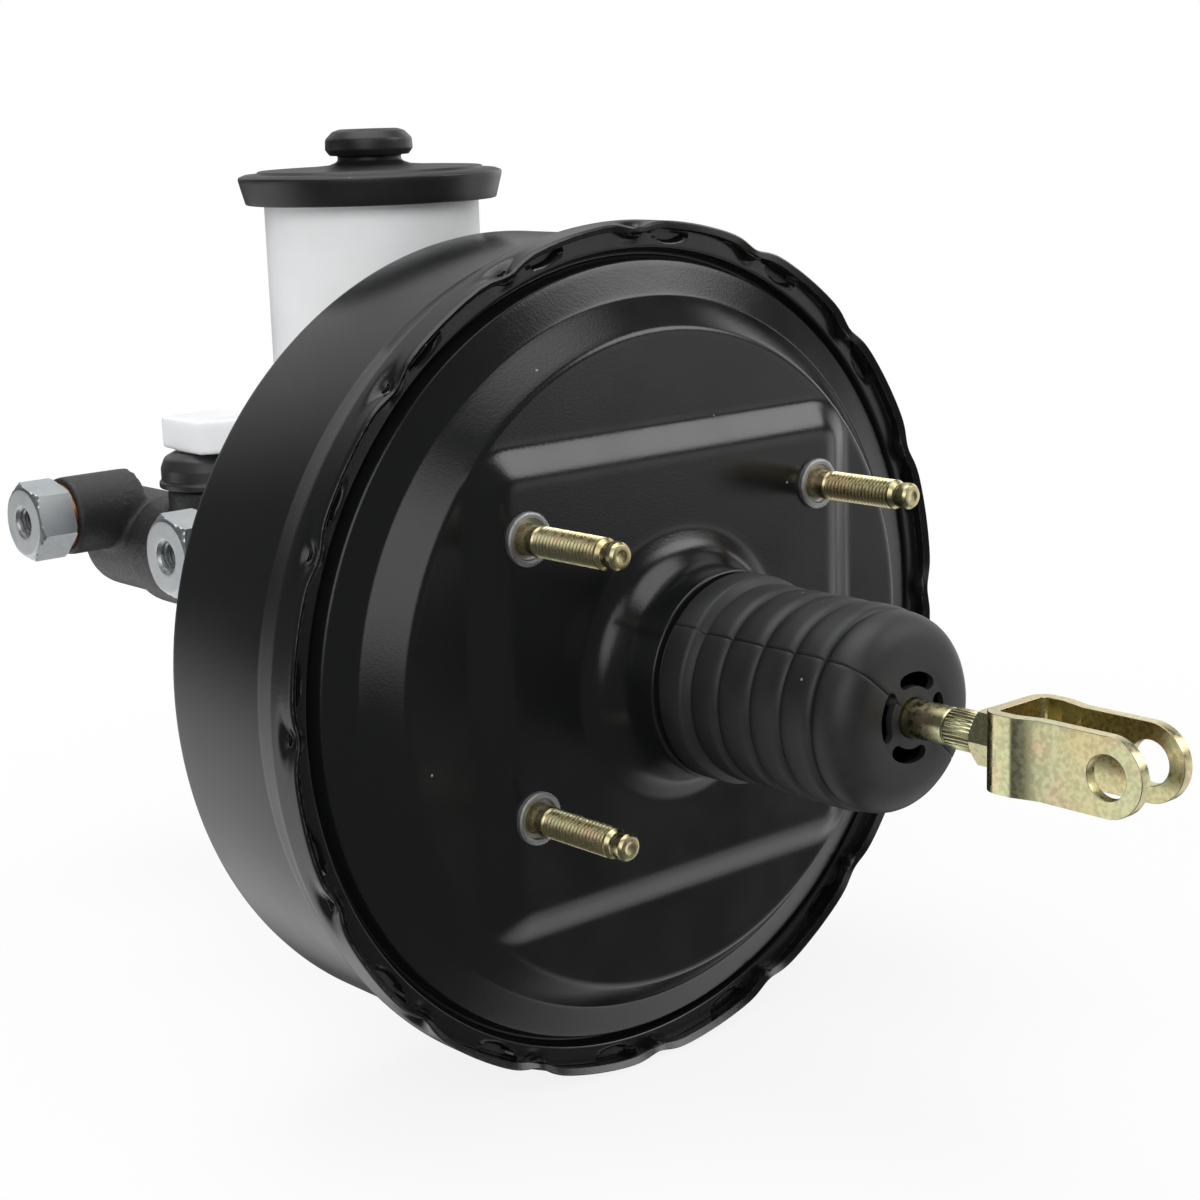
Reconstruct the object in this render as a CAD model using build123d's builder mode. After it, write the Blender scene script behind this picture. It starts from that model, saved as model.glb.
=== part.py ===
from build123d import *
import math
import os

os.makedirs("parts", exist_ok=True)

# Millimetres. Drawn about the booster axis, with Y = 0 on the firewall face of the rear shell.
# save() then drops everything so that the origin is the centre of the four firewall studs.
# -Y points to the pedal, +Y to the master cylinder, +Z up, X to the right looking along +Y.

# ---- shells -------------------------------------------------------------------------------
sheet = 2.0
rim_radius = 117.4
rim_back = 12.8
rim_front = 22.0
drum_step = 4.1
drum_radius = rim_radius - drum_step
flare_end = 33.0
drum_front = 74.6
nose_radius = 63.0
nose_front = 90.5
nose_rise = 4.5
pilot_hole_radius = 24.0
lance_count = 16
lance_radius = 6.5
lance_depth = 2.2
lance_offset = 0.2
rim_clearance = 1.0
flange_width = 4.0
flange_level = 16.6
groove_width = 2.0
groove_level = 20.4
shoulder_step = 1.1
shoulder_level = 15.4
shoulder_width = 9.4
cone_outer_level = 12.5
cone_width = 8.3
base_level = 4.0
flange_edge = rim_radius - sheet - rim_clearance
flange_inner_radius = flange_edge - flange_width
groove_radius = flange_inner_radius - groove_width
shoulder_radius = groove_radius - shoulder_step
cone_outer_radius = shoulder_radius - shoulder_width
cone_inner_radius = cone_outer_radius - cone_width
plateau_width = 120.0
plateau_height = 115.0
plateau_slope_x = 9.0
plateau_slope_z = 7.0
plateau_base_width = plateau_width + 2 * plateau_slope_x
plateau_base_height = plateau_height + 2 * plateau_slope_z
neck_radius = 28.0
neck_end = -18.0
neck_foot_radius = 34.0
neck_foot_level = -6.0
spigot_radius = 25.7
spigot_end = -27.0

# ---- firewall studs -----------------------------------------------------------------------
stud_spacing_x = 105.2
stud_spacing_z = 73.0
stud_centre_z = 5.6
stud_radius = 4.0
stud_pitch = 1.25
stud_thread_start = -6.4
stud_threads = 18
stud_nose = 6.6
stud_tip = stud_thread_start - stud_threads * stud_pitch - stud_nose
stud_shank_radius = 5.8
recess_radius = 5.4
collar_radius = 7.0
collar_height = 1.5
stud_head_radius = 8.5
stud_head_height = 3.0
plate_thickness = 2.5
plate_side_gap = 2.0
plate_top_gap = 5.5
plate_width = plateau_width - 2 * plate_side_gap
plate_height = plateau_height - 2 * plate_top_gap

# ---- valve body, diaphragm and rods -------------------------------------------------------
running_gap = 0.05
free_gap = 0.4
tube_radius = 20.0
tube_bore = 17.0
tube_end = -58.0
hub_radius = 28.0
hub_back = 12.0
hub_front = 46.0
plunger_radius = 6.0
plunger_gap = 1.5
disc_radius = 14.5
disc_back = 36.0
disc_height = 3.5
diaphragm_sheet = 1.5
plate_sheet = 1.5
plate_hub_level = 22.0
plate_level = 18.5
plate_gap = 19.3
plate_radius = drum_radius - plate_gap
plate_rim_front = 31.0
spring_radius = 31.5
seal_radius = 29.0
rod_radius = 4.75
ball_centre = 6.0
ball_radius = 5.0
ball_gap = 0.06
rod_neck_radius = 3.4
rod_flange_radius = 8.6
spring_seat = -43.0
knurl_back = -102.0
knurl_front = -94.0
nut_back = -110.5
nut_height = 7.0
nut_flats = 13.0
rod_thread_radius = 4.0
rod_end = -117.5

# ---- clevis -------------------------------------------------------------------------------
strap = 3.0
clevis_gap = 12.9
clevis_base_gap = 16.8
clevis_height = 19.0
clevis_hole_y = -144.6
clevis_hole_radius = 5.3
clevis_crease = -125.8
clevis_bulge_end = -119.0

# ---- boot ---------------------------------------------------------------------------------
boot_wall = 1.8
boot_collar_radius = spigot_radius + boot_wall
collar_gap = 1.4
boot_end = -81.0
boot_end_radius = 15.5
boot_notches = (-38.9, -50.0, -60.3, -70.2)
boot_fold_radius = 25.9
boot_notch_radius = 24.5
dome_radius = 24.6
vent_radius = 9.6
vent_width = 3.6
vent_turn = 10

# ---- master cylinder ----------------------------------------------------------------------
barrel_radius = 18.0
barrel_front = 296.5
bore_radius = 11.9
bore_end = 288.0
spigot_back = 79.0
flange_front = 100.5
flange_radius = 25.0
ear_radius = 11.0
ear_offset = 42.0
bolt_radius = 5.0
bolt_end = 117.0
mc_nut_height = 8.0
mc_nut_flats = 17.0
rear_port_y = 131.0
front_port_y = 230.5
port_radius = 15.5
port_top = 24.5
port_bore = 12.5
port_floor = 15.0
outlet_y = (274.2, 181.5)
outlet_z = 13.2
outlet_radius = 13.5
outlet_face = -34.5
outlet_back = -8.0
band_radius = 20.0
band_front = 257.5
band_back = 214.0
washer_height = 1.4
washer_radius = 11.6
union_flats = 24.0
union_height = 13.4
union_face_radius = 10.2
union_chamfer = 5.6
union_thread_radius = 7.0
union_depth = 13.0
line_hole_radius = 4.5
line_hole_depth = 12.0
line_hole_chamfer = 1.2
union_turn = 15
stop_bolt_y = 206.0

# ---- reservoir ----------------------------------------------------------------------------
tank_radius = 32.0
tank_wall = 2.0
tank_top = 127.0
tank_bottom = 50.0
spigot_nylon_radius = 9.0
spigot_bore = 6.0
arm_half_width = 12.0
arm_height = 11.0
arm_front_level = 37.0
arm_rise = 7.5
grommet_radius = 17.4
grommet_top = 36.5
cap_bottom = 121.0
cap_top = 129.4
cap_bottom_radius = 37.3
cap_top_radius = 39.4
knob_radius = 13.1
knob_neck_radius = 9.4
knob_bottom = 134.5
knob_top = 142.3

# ---- vacuum check valve -------------------------------------------------------------------
valve_x = 38.5
valve_z = 30.0
valve_radius = 9.0
nipple_radius = 5.5
nipple_end = 124.0


def face_of(points, plane=Plane.XY):
    with BuildSketch(plane) as s:
        with BuildLine():
            Polyline(*points, close=True)
        make_face()
    return s.sketch


def sheet_of(points, thick, bend, side):
    with BuildSketch(Plane.XY) as s:
        with BuildLine():
            FilletPolyline(*points, radius=bend)
            offset(amount=thick, side=side)
        make_face()
    return s.sketch


def disc_on(plane, radius, at=(0, 0)):
    with BuildSketch(plane) as s:
        with Locations(at):
            Circle(radius)
    return s.sketch


def hexagon_on(plane, flats, at=(0, 0), turn=0):
    with BuildSketch(plane) as s:
        with Locations(at):
            RegularPolygon(flats / 2, 6, major_radius=False, rotation=turn)
    return s.sketch


def across_y(y):
    """Plane at this Y whose normal is +Y and whose second direction is +Z."""
    return Plane(origin=(0, y, 0), x_dir=(-1, 0, 0), z_dir=(0, 1, 0))


def along_x(x):
    return Plane.YZ.offset(x)


def ring(inner, outer, y0, y1):
    return face_of([(inner, y0), (outer, y0), (outer, y1), (inner, y1)])


def save(builder, name):
    """Export one piece, moved so that the stud pattern's centre is the frame's origin."""
    piece = builder.part.moved(Location((0, 0, -stud_centre_z)))
    piece.label = name
    export_step(piece, f"parts/{name}.step")


def coil(wire, radius, y0, y1, turns):
    """Round-wire compression spring about the Y axis between two planes."""
    height = y1 - y0 - 2 * wire
    with BuildPart() as spring:
        with BuildLine() as path:
            Helix(pitch=height / turns, height=height, radius=radius,
                  center=(0, y0 + wire, 0), direction=(0, 1, 0))
        with BuildSketch(Plane(origin=path.line @ 0, z_dir=path.line % 0)):
            Circle(wire)
        sweep(path=path.line, is_frenet=True)
    return spring


# ---- front shell --------------------------------------------------------------------------
front_outer = [
    (rim_radius, rim_back), (rim_radius, rim_front), (drum_radius, flare_end),
    (drum_radius, drum_front + 1.5), (nose_radius + 6, nose_front - nose_rise),
    (nose_radius, nose_front), (pilot_hole_radius, nose_front),
]
with BuildPart() as front_shell:
    revolve(sheet_of(front_outer, sheet, 3.0, Side.LEFT), axis=Axis.Y)
    lance_axis = rim_radius + lance_radius - lance_depth
    for k in range(lance_count):
        a = 2 * math.pi * k / lance_count
        with Locations((lance_axis * math.cos(a), rim_back + lance_offset, lance_axis * math.sin(a))):
            Sphere(lance_radius + sheet - 0.4)
    revolve(ring(rim_radius, rim_radius + 30, rim_back - 30, drum_front), axis=Axis.Y,
            mode=Mode.SUBTRACT)
    revolve(ring(0, rim_radius + 1, rim_back - 30, rim_back), axis=Axis.Y, mode=Mode.SUBTRACT)
    for k in range(lance_count):
        a = 2 * math.pi * k / lance_count
        with Locations((lance_axis * math.cos(a), rim_back + lance_offset, lance_axis * math.sin(a))):
            Sphere(lance_radius, mode=Mode.SUBTRACT)
    for x in (-ear_offset, ear_offset):
        extrude(disc_on(across_y(nose_front - 10), bolt_radius, (-x, 0)), amount=20,
                mode=Mode.SUBTRACT)
    extrude(disc_on(across_y(nose_front - 10), valve_radius + 1, (-valve_x, valve_z)),
            amount=20, mode=Mode.SUBTRACT)
save(front_shell, "front_shell")

# ---- rear shell ---------------------------------------------------------------------------
rear_back = [
    (neck_foot_radius, base_level), (cone_inner_radius, base_level),
    (cone_outer_radius, cone_outer_level), (shoulder_radius, shoulder_level),
    (groove_radius, groove_level), (flange_inner_radius, flange_level),
    (flange_edge, flange_level),
]
neck_back = [
    (spigot_radius, spigot_end), (spigot_radius, neck_end), (neck_radius, neck_end),
    (neck_radius, neck_foot_level - 3.0), (neck_radius + 1.4, neck_foot_level),
    (neck_foot_radius - 0.5, -1.8), (neck_foot_radius + 5, 0.0), (neck_foot_radius + 12, 0.0),
]
with BuildPart() as plain_rear_shell:
    revolve(sheet_of(rear_back, sheet, 0.8, Side.LEFT), axis=Axis.Y)
    with BuildSketch(across_y(base_level + sheet)):
        Rectangle(plateau_base_width, plateau_base_height)
    with BuildSketch(across_y(0.0)):
        Rectangle(plateau_width, plateau_height)
    loft()
    with BuildSketch(across_y(base_level + sheet)):
        Rectangle(plateau_base_width - 2 * sheet, plateau_base_height - 2 * sheet)
    with BuildSketch(across_y(sheet)):
        Rectangle(plateau_width - 1.2 * sheet, plateau_height - 1.2 * sheet)
    loft(mode=Mode.SUBTRACT)
    revolve(ring(0, neck_foot_radius + 1, -1, base_level + 9), axis=Axis.Y, mode=Mode.SUBTRACT)
    revolve(sheet_of(neck_back, sheet, 1.2, Side.LEFT), axis=Axis.Y)

# ---- firewall studs (four alike) and the plate that backs them ------------------------------
thread_depth = 0.62
stud_profile = [
    (0, sheet + plate_thickness + stud_head_height),
    (stud_head_radius, sheet + plate_thickness + stud_head_height),
    (stud_head_radius, sheet + plate_thickness),
    (stud_shank_radius, sheet + plate_thickness),
    (stud_shank_radius, -0.01),
    (collar_radius, -0.01),
    (collar_radius, -collar_height + 0.3),
    (collar_radius - 0.5, -collar_height),
    (recess_radius, -collar_height),
    (recess_radius, 0.3),
    (stud_radius, 0.3),
]
for k in range(stud_threads):
    y = stud_thread_start - k * stud_pitch
    stud_profile += [(stud_radius, y + 0.12), (stud_radius, y - 0.12),
                     (stud_radius - thread_depth, y - stud_pitch / 2)]
thread_end = stud_thread_start - stud_threads * stud_pitch
stud_profile += [
    (stud_radius, thread_end), (stud_radius, thread_end - 0.8), (stud_radius - 0.9, thread_end - 1.9),
    (stud_radius - 0.9, thread_end - 3.0), (stud_radius - 0.5, thread_end - 3.6),
    (stud_radius - 0.5, stud_tip + 0.7), (stud_radius - 1.1, stud_tip), (1.6, stud_tip),
    (0, stud_tip + 0.7),
]
with BuildPart() as one_stud:
    revolve(face_of(stud_profile), axis=Axis.Y)
stud_places = [
    (x * stud_spacing_x / 2, 0, stud_centre_z + z * stud_spacing_z / 2)
    for x in (-1, 1) for z in (-1, 1)
]
with BuildPart() as mounting_studs:
    with Locations(*stud_places):
        add(one_stud.part)
save(mounting_studs, "mounting_studs")

with BuildPart() as stud_holes:
    with Locations(*stud_places):
        Cylinder(stud_shank_radius, 30, rotation=(90, 0, 0))
with BuildPart() as rear_shell:
    add(plain_rear_shell.part)
    add(stud_holes.part, mode=Mode.SUBTRACT)
save(rear_shell, "rear_shell")

with BuildPart() as backing_plate:
    with BuildSketch(across_y(sheet)):
        Rectangle(plate_width, plate_height)
        Circle(neck_foot_radius + 2, mode=Mode.SUBTRACT)
    extrude(amount=plate_thickness)
    fillet(backing_plate.edges().filter_by(Axis.Y).group_by(SortBy.LENGTH)[0], 8)
    add(stud_holes.part, mode=Mode.SUBTRACT)
save(backing_plate, "backing_plate")

# ---- seal and bearing in the neck -----------------------------------------------------------
neck_bore = neck_radius - sheet
with BuildPart() as hub_seal:
    revolve(face_of([
        (tube_radius + running_gap, -8.0), (tube_radius + 1.6, -8.0), (tube_radius + 2.6, -3.0),
        (neck_bore, -3.0), (neck_bore, 0.0), (tube_radius + 1.2, 0.0),
    ]), axis=Axis.Y)
save(hub_seal, "hub_seal")
with BuildPart() as hub_bearing:
    revolve(face_of([
        (tube_radius + running_gap, -16.0), (neck_bore, -16.0), (neck_bore, -3.0),
        (tube_radius + 2.6, -3.0), (tube_radius + 1.6, -8.0), (tube_radius + running_gap, -8.0),
    ]), axis=Axis.Y)
save(hub_bearing, "hub_bearing")

# ---- valve body -----------------------------------------------------------------------------
with BuildPart() as valve_body:
    revolve(face_of([
        (tube_bore, tube_end), (tube_radius, tube_end), (tube_radius, hub_back),
        (hub_radius, hub_back), (hub_radius, hub_front - 4), (hub_radius - 4, hub_front),
        (disc_radius, hub_front), (disc_radius, disc_back), (plunger_radius + running_gap, disc_back),
        (plunger_radius + running_gap, 16.0), (11.0, 16.0), (11.0, 6.0), (tube_bore, 6.0),
    ]), axis=Axis.Y)
    for a in range(0, 360, 90):
        with BuildSketch(across_y(hub_back)):
            with Locations((14.0 * math.cos(math.radians(a)), 14.0 * math.sin(math.radians(a)))):
                Circle(1.6)
        extrude(amount=20, mode=Mode.SUBTRACT)
save(valve_body, "valve_body")

with BuildPart() as reaction_disc:
    revolve(ring(0, disc_radius, disc_back, disc_back + disc_height), axis=Axis.Y)
save(reaction_disc, "reaction_disc")

rod_head = disc_back + disc_height
with BuildPart() as output_rod:
    revolve(face_of([
        (0, rod_head), (disc_radius, rod_head), (disc_radius, rod_head + 4), (8, rod_head + 5.5),
        (6.5, rod_head + 9), (6.5, 84), (5, 84), (5, 87.5), (4.2, 92), (3, 94.6), (0, 95.2),
    ]), axis=Axis.Y)
save(output_rod, "output_rod")

# ---- diaphragm and its plate ----------------------------------------------------------------
plate_back = [
    (hub_radius, plate_hub_level), (hub_radius + 8, plate_hub_level), (hub_radius + 16, plate_level + 1.5),
    (hub_radius + 30, plate_level), (plate_radius, plate_level), (plate_radius, plate_rim_front),
]
with BuildPart() as diaphragm_plate:
    revolve(sheet_of(plate_back, plate_sheet, 1.8, Side.LEFT), axis=Axis.Y)
save(diaphragm_plate, "diaphragm_plate")

bead_inner = flange_inner_radius + sheet
bead_outer = flange_edge
bead_back = flange_level + sheet
skin = [
    (hub_radius, plate_hub_level), (hub_radius + 8, plate_hub_level), (hub_radius + 16, plate_level + 1.5),
    (hub_radius + 30, plate_level), (plate_radius, plate_level),
    (plate_radius, plate_rim_front + 4), (plate_radius + 9.5, plate_rim_front + 4),
    (plate_radius + 9.5, bead_back + 7.2), (bead_inner + 1.0, bead_back + 7.2),
]
with BuildPart() as diaphragm:
    revolve(sheet_of(skin, diaphragm_sheet, 1.8, Side.RIGHT), axis=Axis.Y)
    revolve(face_of([
        (bead_inner, bead_back), (bead_outer, bead_back), (bead_outer, bead_back + 3.4),
        (bead_outer - 1.6, bead_back + 7.2), (bead_inner, bead_back + 7.2),
    ]), axis=Axis.Y)
save(diaphragm, "diaphragm")

with BuildPart() as return_spring:
    add(coil(1.9, spring_radius, plate_hub_level + plate_sheet + 0.1, nose_front - sheet, 5.0).part)
save(return_spring, "return_spring")

# ---- control valve --------------------------------------------------------------------------
with BuildPart() as valve_plunger:
    revolve(face_of([
        (0, disc_back - plunger_gap), (plunger_radius, disc_back - plunger_gap), (plunger_radius, 18.0),
        (3.6, 18.0), (3.6, 14.5), (7.6, 14.5), (7.6, ball_centre - 2.6), (0, ball_centre - 2.6),
    ]), axis=Axis.Y)
    with Locations((0, ball_centre, 0)):
        Sphere(ball_radius, mode=Mode.SUBTRACT)
save(valve_plunger, "valve_plunger")

with BuildPart() as poppet_valve:
    revolve(face_of([
        (11.2, -26.0), (tube_bore, -26.0), (tube_bore, -21.0), (14.4, -21.0), (14.4, -6.0),
        (15.6, -2.5), (15.6, 1.5), (10.2, 1.5), (10.2, -2.0), (12.8, -5.0), (12.8, -23.5),
        (11.2, -23.5),
    ]), axis=Axis.Y)
save(poppet_valve, "poppet_valve")
with BuildPart() as poppet_spring:
    add(coil(0.5, 15.4, -20.9, -4.6, 5.0).part)
save(poppet_spring, "poppet_spring")
with BuildPart() as spring_retainer:
    revolve(face_of([
        (10.4, -30.5), (tube_bore, -30.5), (tube_bore, -26.0), (11.2, -26.0), (11.2, -12.0),
        (7.2, -12.0), (7.2, -12.8), (10.4, -12.8),
    ]), axis=Axis.Y)
save(spring_retainer, "spring_retainer")
with BuildPart() as rod_spring:
    add(coil(0.7, 7.8, spring_seat, -12.9, 7.0).part)
save(rod_spring, "rod_spring")
with BuildPart() as air_filter:
    revolve(ring(8.6, tube_bore, tube_end + 1.0, tube_end + 12.0), axis=Axis.Y)
save(air_filter, "air_filter")

# ---- pedal rod, lock nut and clevis -----------------------------------------------------------
with BuildPart() as input_rod:
    revolve(face_of([
        (0, ball_centre), (rod_neck_radius, ball_centre),
        (rod_neck_radius, ball_centre - 4.0), (rod_neck_radius, -10.0), (rod_radius, -13.0),
        (rod_radius, spring_seat), (rod_flange_radius, spring_seat),
        (rod_flange_radius, spring_seat - 1.5), (rod_radius, spring_seat - 1.5),
        (rod_radius, knurl_back),
        (rod_thread_radius, knurl_back - 1.0), (rod_thread_radius, rod_end + 1.0),
        (rod_thread_radius - 1, rod_end), (0, rod_end),
    ]), axis=Axis.Y)
    with Locations((0, ball_centre, 0)):
        Sphere(ball_radius - ball_gap)
    with BuildSketch(across_y(knurl_back)):
        with PolarLocations(rod_radius + 0.06, 30):
            Circle(0.24)
    extrude(amount=knurl_front - knurl_back)
save(input_rod, "input_rod")

with BuildPart() as lock_nut:
    extrude(hexagon_on(across_y(nut_back), nut_flats), amount=nut_height)
    revolve(face_of([
        (nut_flats / 2 - 0.1, nut_back - 0.1), (nut_flats, nut_back - 0.1),
        (nut_flats, nut_back + nut_flats * 0.29),
    ]), axis=Axis.Y, mode=Mode.SUBTRACT)
    revolve(face_of([
        (nut_flats / 2 - 0.1, nut_back + nut_height + 0.1),
        (nut_flats, nut_back + nut_height + 0.1),
        (nut_flats, nut_back + nut_height - nut_flats * 0.29),
    ]), axis=Axis.Y, mode=Mode.SUBTRACT)
    extrude(disc_on(across_y(nut_back - 1), rod_thread_radius), amount=nut_height + 2,
            mode=Mode.SUBTRACT)
save(lock_nut, "lock_nut")

ear_line = clevis_gap / 2
base_line = clevis_base_gap / 2
clevis_tip = clevis_hole_y - clevis_height / 2
strap_inner = [
    (-ear_line, clevis_tip), (-ear_line, clevis_crease), (-base_line, clevis_bulge_end),
    (-base_line, nut_back - strap), (base_line, nut_back - strap), (base_line, clevis_bulge_end),
    (ear_line, clevis_crease), (ear_line, clevis_tip),
]
with BuildPart() as clevis:
    extrude(sheet_of(strap_inner, strap, 1.6, Side.LEFT), amount=clevis_height / 2, both=True)
    with BuildSketch(along_x(-clevis_base_gap)):
        with BuildLine():
            Polyline((clevis_hole_y, clevis_height / 2), (nut_back + 1, clevis_height / 2),
                     (nut_back + 1, -clevis_height / 2), (clevis_hole_y, -clevis_height / 2))
            ThreePointArc((clevis_hole_y, -clevis_height / 2), (clevis_tip, 0),
                          (clevis_hole_y, clevis_height / 2))
        make_face()
    extrude(amount=2 * clevis_base_gap, mode=Mode.INTERSECT)
    extrude(disc_on(along_x(-clevis_base_gap), clevis_hole_radius, (clevis_hole_y, 0)),
            amount=2 * clevis_base_gap, mode=Mode.SUBTRACT)
    extrude(disc_on(across_y(nut_back - strap - 1), rod_thread_radius), amount=strap + 2,
            mode=Mode.SUBTRACT)
save(clevis, "clevis")

# ---- dust boot --------------------------------------------------------------------------------
boot_outer = [(boot_collar_radius, neck_end - collar_gap), (boot_collar_radius, spigot_end - 0.6)]
fold_start = spigot_end - 2.0
for y in boot_notches:
    fold = fold_start - y
    boot_outer += [(boot_fold_radius, fold_start - 0.3 * fold), (boot_fold_radius, y + 0.3 * fold),
                   (boot_notch_radius, y)]
    fold_start = y
boot_outer += [
    (dome_radius + 0.4, boot_notches[-1] - 2.4), (dome_radius - 0.2, boot_end + 6.5),
    (dome_radius - 2.6, boot_end + 3.0), (boot_end_radius + 2.5, boot_end),
    (rod_radius + running_gap, boot_end),
]
with BuildPart() as dust_boot:
    revolve(sheet_of(boot_outer, boot_wall, 0.5, Side.RIGHT), axis=Axis.Y)
    revolve(ring(spigot_radius, boot_collar_radius - 0.5, spigot_end - 1.0, neck_end - collar_gap),
            axis=Axis.Y)
    for a in (0, 90, 180, 270):
        with BuildSketch(across_y(boot_end - 1)):
            with Locations(Location((0, 0), a + vent_turn)):
                SlotArc(CenterArc((0, 0), vent_radius, -27, 54), vent_width)
        extrude(amount=boot_wall + 2, mode=Mode.SUBTRACT)
save(dust_boot, "dust_boot")

# ---- master cylinder body ---------------------------------------------------------------------
with BuildPart() as mc_body:
    revolve(face_of([
        (0, spigot_back), (pilot_hole_radius - running_gap, spigot_back),
        (pilot_hole_radius - running_gap, flange_front), (barrel_radius + 2.5, flange_front + 2),
        (barrel_radius, flange_front + 8), (barrel_radius, band_back), (band_radius, band_back + 3),
        (band_radius, band_front - 1.5), (band_radius - 1, band_front), (barrel_radius, band_front),
        (barrel_radius, barrel_front - 7), (barrel_radius - 2, barrel_front - 2.5),
        (barrel_radius - 7, barrel_front), (0, barrel_front),
    ]), axis=Axis.Y)
    with BuildSketch(across_y(nose_front)):
        with Locations((-ear_offset, 0), (ear_offset, 0)):
            Circle(ear_radius)
        Circle(flange_radius)
        make_hull()
    extrude(amount=flange_front - nose_front)
    for y in (rear_port_y, front_port_y):
        extrude(disc_on(Plane.XY, port_radius, (0, y)), amount=port_top)
    for y in outlet_y:
        extrude(disc_on(along_x(outlet_face), outlet_radius, (y, outlet_z)),
                amount=outlet_back - outlet_face)
    extrude(disc_on(Plane.XY.offset(-barrel_radius - 3), 9.5, (0, stop_bolt_y)), amount=12)
    # bores
    revolve(ring(0, bore_radius, spigot_back - 1, bore_end), axis=Axis.Y, mode=Mode.SUBTRACT)
    revolve(face_of([
        (0, bore_end), (bore_radius, bore_end), (bore_radius - 5, bore_end + 3), (0, bore_end + 4),
    ]), axis=Axis.Y, mode=Mode.SUBTRACT)
    for y in (rear_port_y, front_port_y):
        extrude(disc_on(Plane.XY.offset(port_floor), port_bore, (0, y)), amount=20,
                mode=Mode.SUBTRACT)
        extrude(disc_on(Plane.XY, 1.6, (0, y + 4)), amount=20, mode=Mode.SUBTRACT)
    for y in outlet_y:
        extrude(disc_on(along_x(outlet_face - 1), union_thread_radius, (y, outlet_z)),
                amount=union_depth + 1, mode=Mode.SUBTRACT)
        with BuildSketch(along_x(outlet_face + union_depth - 0.5)):
            with Locations((y, outlet_z - 4)):
                Circle(1.8)
        extrude(amount=16, mode=Mode.SUBTRACT)
    for x in (-ear_offset, ear_offset):
        extrude(disc_on(across_y(nose_front - 1), bolt_radius, (x, 0)), amount=20,
                mode=Mode.SUBTRACT)
    extrude(disc_on(Plane.XY.offset(-barrel_radius - 4), 3.0, (0, stop_bolt_y)), amount=12,
            mode=Mode.SUBTRACT)
save(mc_body, "master_cylinder_body")

head = outlet_face - washer_height
face = head - union_height
with BuildPart() as one_union:
    extrude(hexagon_on(along_x(face), union_flats, (0, 0), union_turn), amount=union_height)
    revolve(face_of([
        (face - 1, union_face_radius), (face - 1, union_flats), (face + union_chamfer, union_flats),
        (face + union_chamfer, union_flats * 0.5774), (face, union_face_radius),
    ]), axis=Axis.X, mode=Mode.SUBTRACT)
    extrude(disc_on(along_x(head), union_thread_radius), amount=union_depth + washer_height - 1)
    extrude(disc_on(along_x(face - 1), line_hole_radius), amount=line_hole_depth + 1,
            mode=Mode.SUBTRACT)
    extrude(disc_on(along_x(face), 2.0), amount=40, mode=Mode.SUBTRACT)
    chamfer(one_union.edges().filter_by(GeomType.CIRCLE).group_by(Axis.X)[0].sort_by(SortBy.RADIUS)[0],
            line_hole_chamfer)
with BuildPart() as outlet_unions:
    with Locations(*[(0, y, outlet_z) for y in outlet_y]):
        add(one_union.part)
save(outlet_unions, "outlet_unions")

with BuildPart() as outlet_washers:
    for y in outlet_y:
        with BuildSketch(along_x(outlet_face - washer_height)):
            with Locations((y, outlet_z)):
                Circle(washer_radius)
                Circle(union_thread_radius, mode=Mode.SUBTRACT)
        extrude(amount=washer_height)
save(outlet_washers, "outlet_washers")

stop_seat = -barrel_radius - 3
with BuildPart() as stop_bolt:
    extrude(hexagon_on(Plane.XY.offset(stop_seat - 1.0 - 5.0), 12.0, (0, stop_bolt_y)), amount=5.0)
    extrude(disc_on(Plane.XY.offset(stop_seat - 1.0), 3.0, (0, stop_bolt_y)), amount=9.6)
save(stop_bolt, "stop_bolt")
with BuildPart() as stop_washer:
    with BuildSketch(Plane.XY.offset(stop_seat - 1.0)):
        with Locations((0, stop_bolt_y)):
            Circle(7.5)
            Circle(3.0, mode=Mode.SUBTRACT)
    extrude(amount=1.0)
save(stop_washer, "stop_washer")

# ---- studs and nuts that hold the master cylinder ------------------------------------------------
ears = (-ear_offset, ear_offset)
with BuildPart() as mc_studs:
    for x in ears:
        extrude(disc_on(across_y(nose_front - sheet - 4), 7.8, (x, 0)), amount=4)
        extrude(disc_on(across_y(nose_front - sheet), bolt_radius, (x, 0)),
                amount=bolt_end - nose_front + sheet)
save(mc_studs, "mc_studs")
with BuildPart() as mc_washers:
    for x in ears:
        with BuildSketch(across_y(flange_front)):
            with Locations((x, 0)):
                Circle(10.0)
                Circle(bolt_radius, mode=Mode.SUBTRACT)
        extrude(amount=1.8)
save(mc_washers, "mc_washers")
with BuildPart() as mc_nuts:
    for x in ears:
        with BuildSketch(across_y(flange_front + 1.8)):
            with Locations((x, 0)):
                RegularPolygon(mc_nut_flats / 2, 6, major_radius=False)
                Circle(bolt_radius, mode=Mode.SUBTRACT)
        extrude(amount=mc_nut_height)
save(mc_nuts, "mc_nuts")

# ---- pistons, cups and springs in the bore -------------------------------------------------------
slide_radius = bore_radius - running_gap
primary_back, primary_front = 86.0, 152.0
secondary_back, secondary_front = 188.0, 238.0


def piston(y0, y1, grooves, nose, pocket):
    points = [(0, y0)] if not pocket else [(0, y0 + pocket), (5.4, y0 + pocket), (6.6, y0)]
    points += [(slide_radius, y0)]
    for g in grooves:
        points += [(slide_radius, g), (slide_radius - 4.2, g), (slide_radius - 4.2, g + 4.0),
                   (slide_radius, g + 4.0)]
    points += [(slide_radius, y1 - 8), (nose, y1 - 8), (nose, y1), (0, y1)]
    return points


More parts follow.
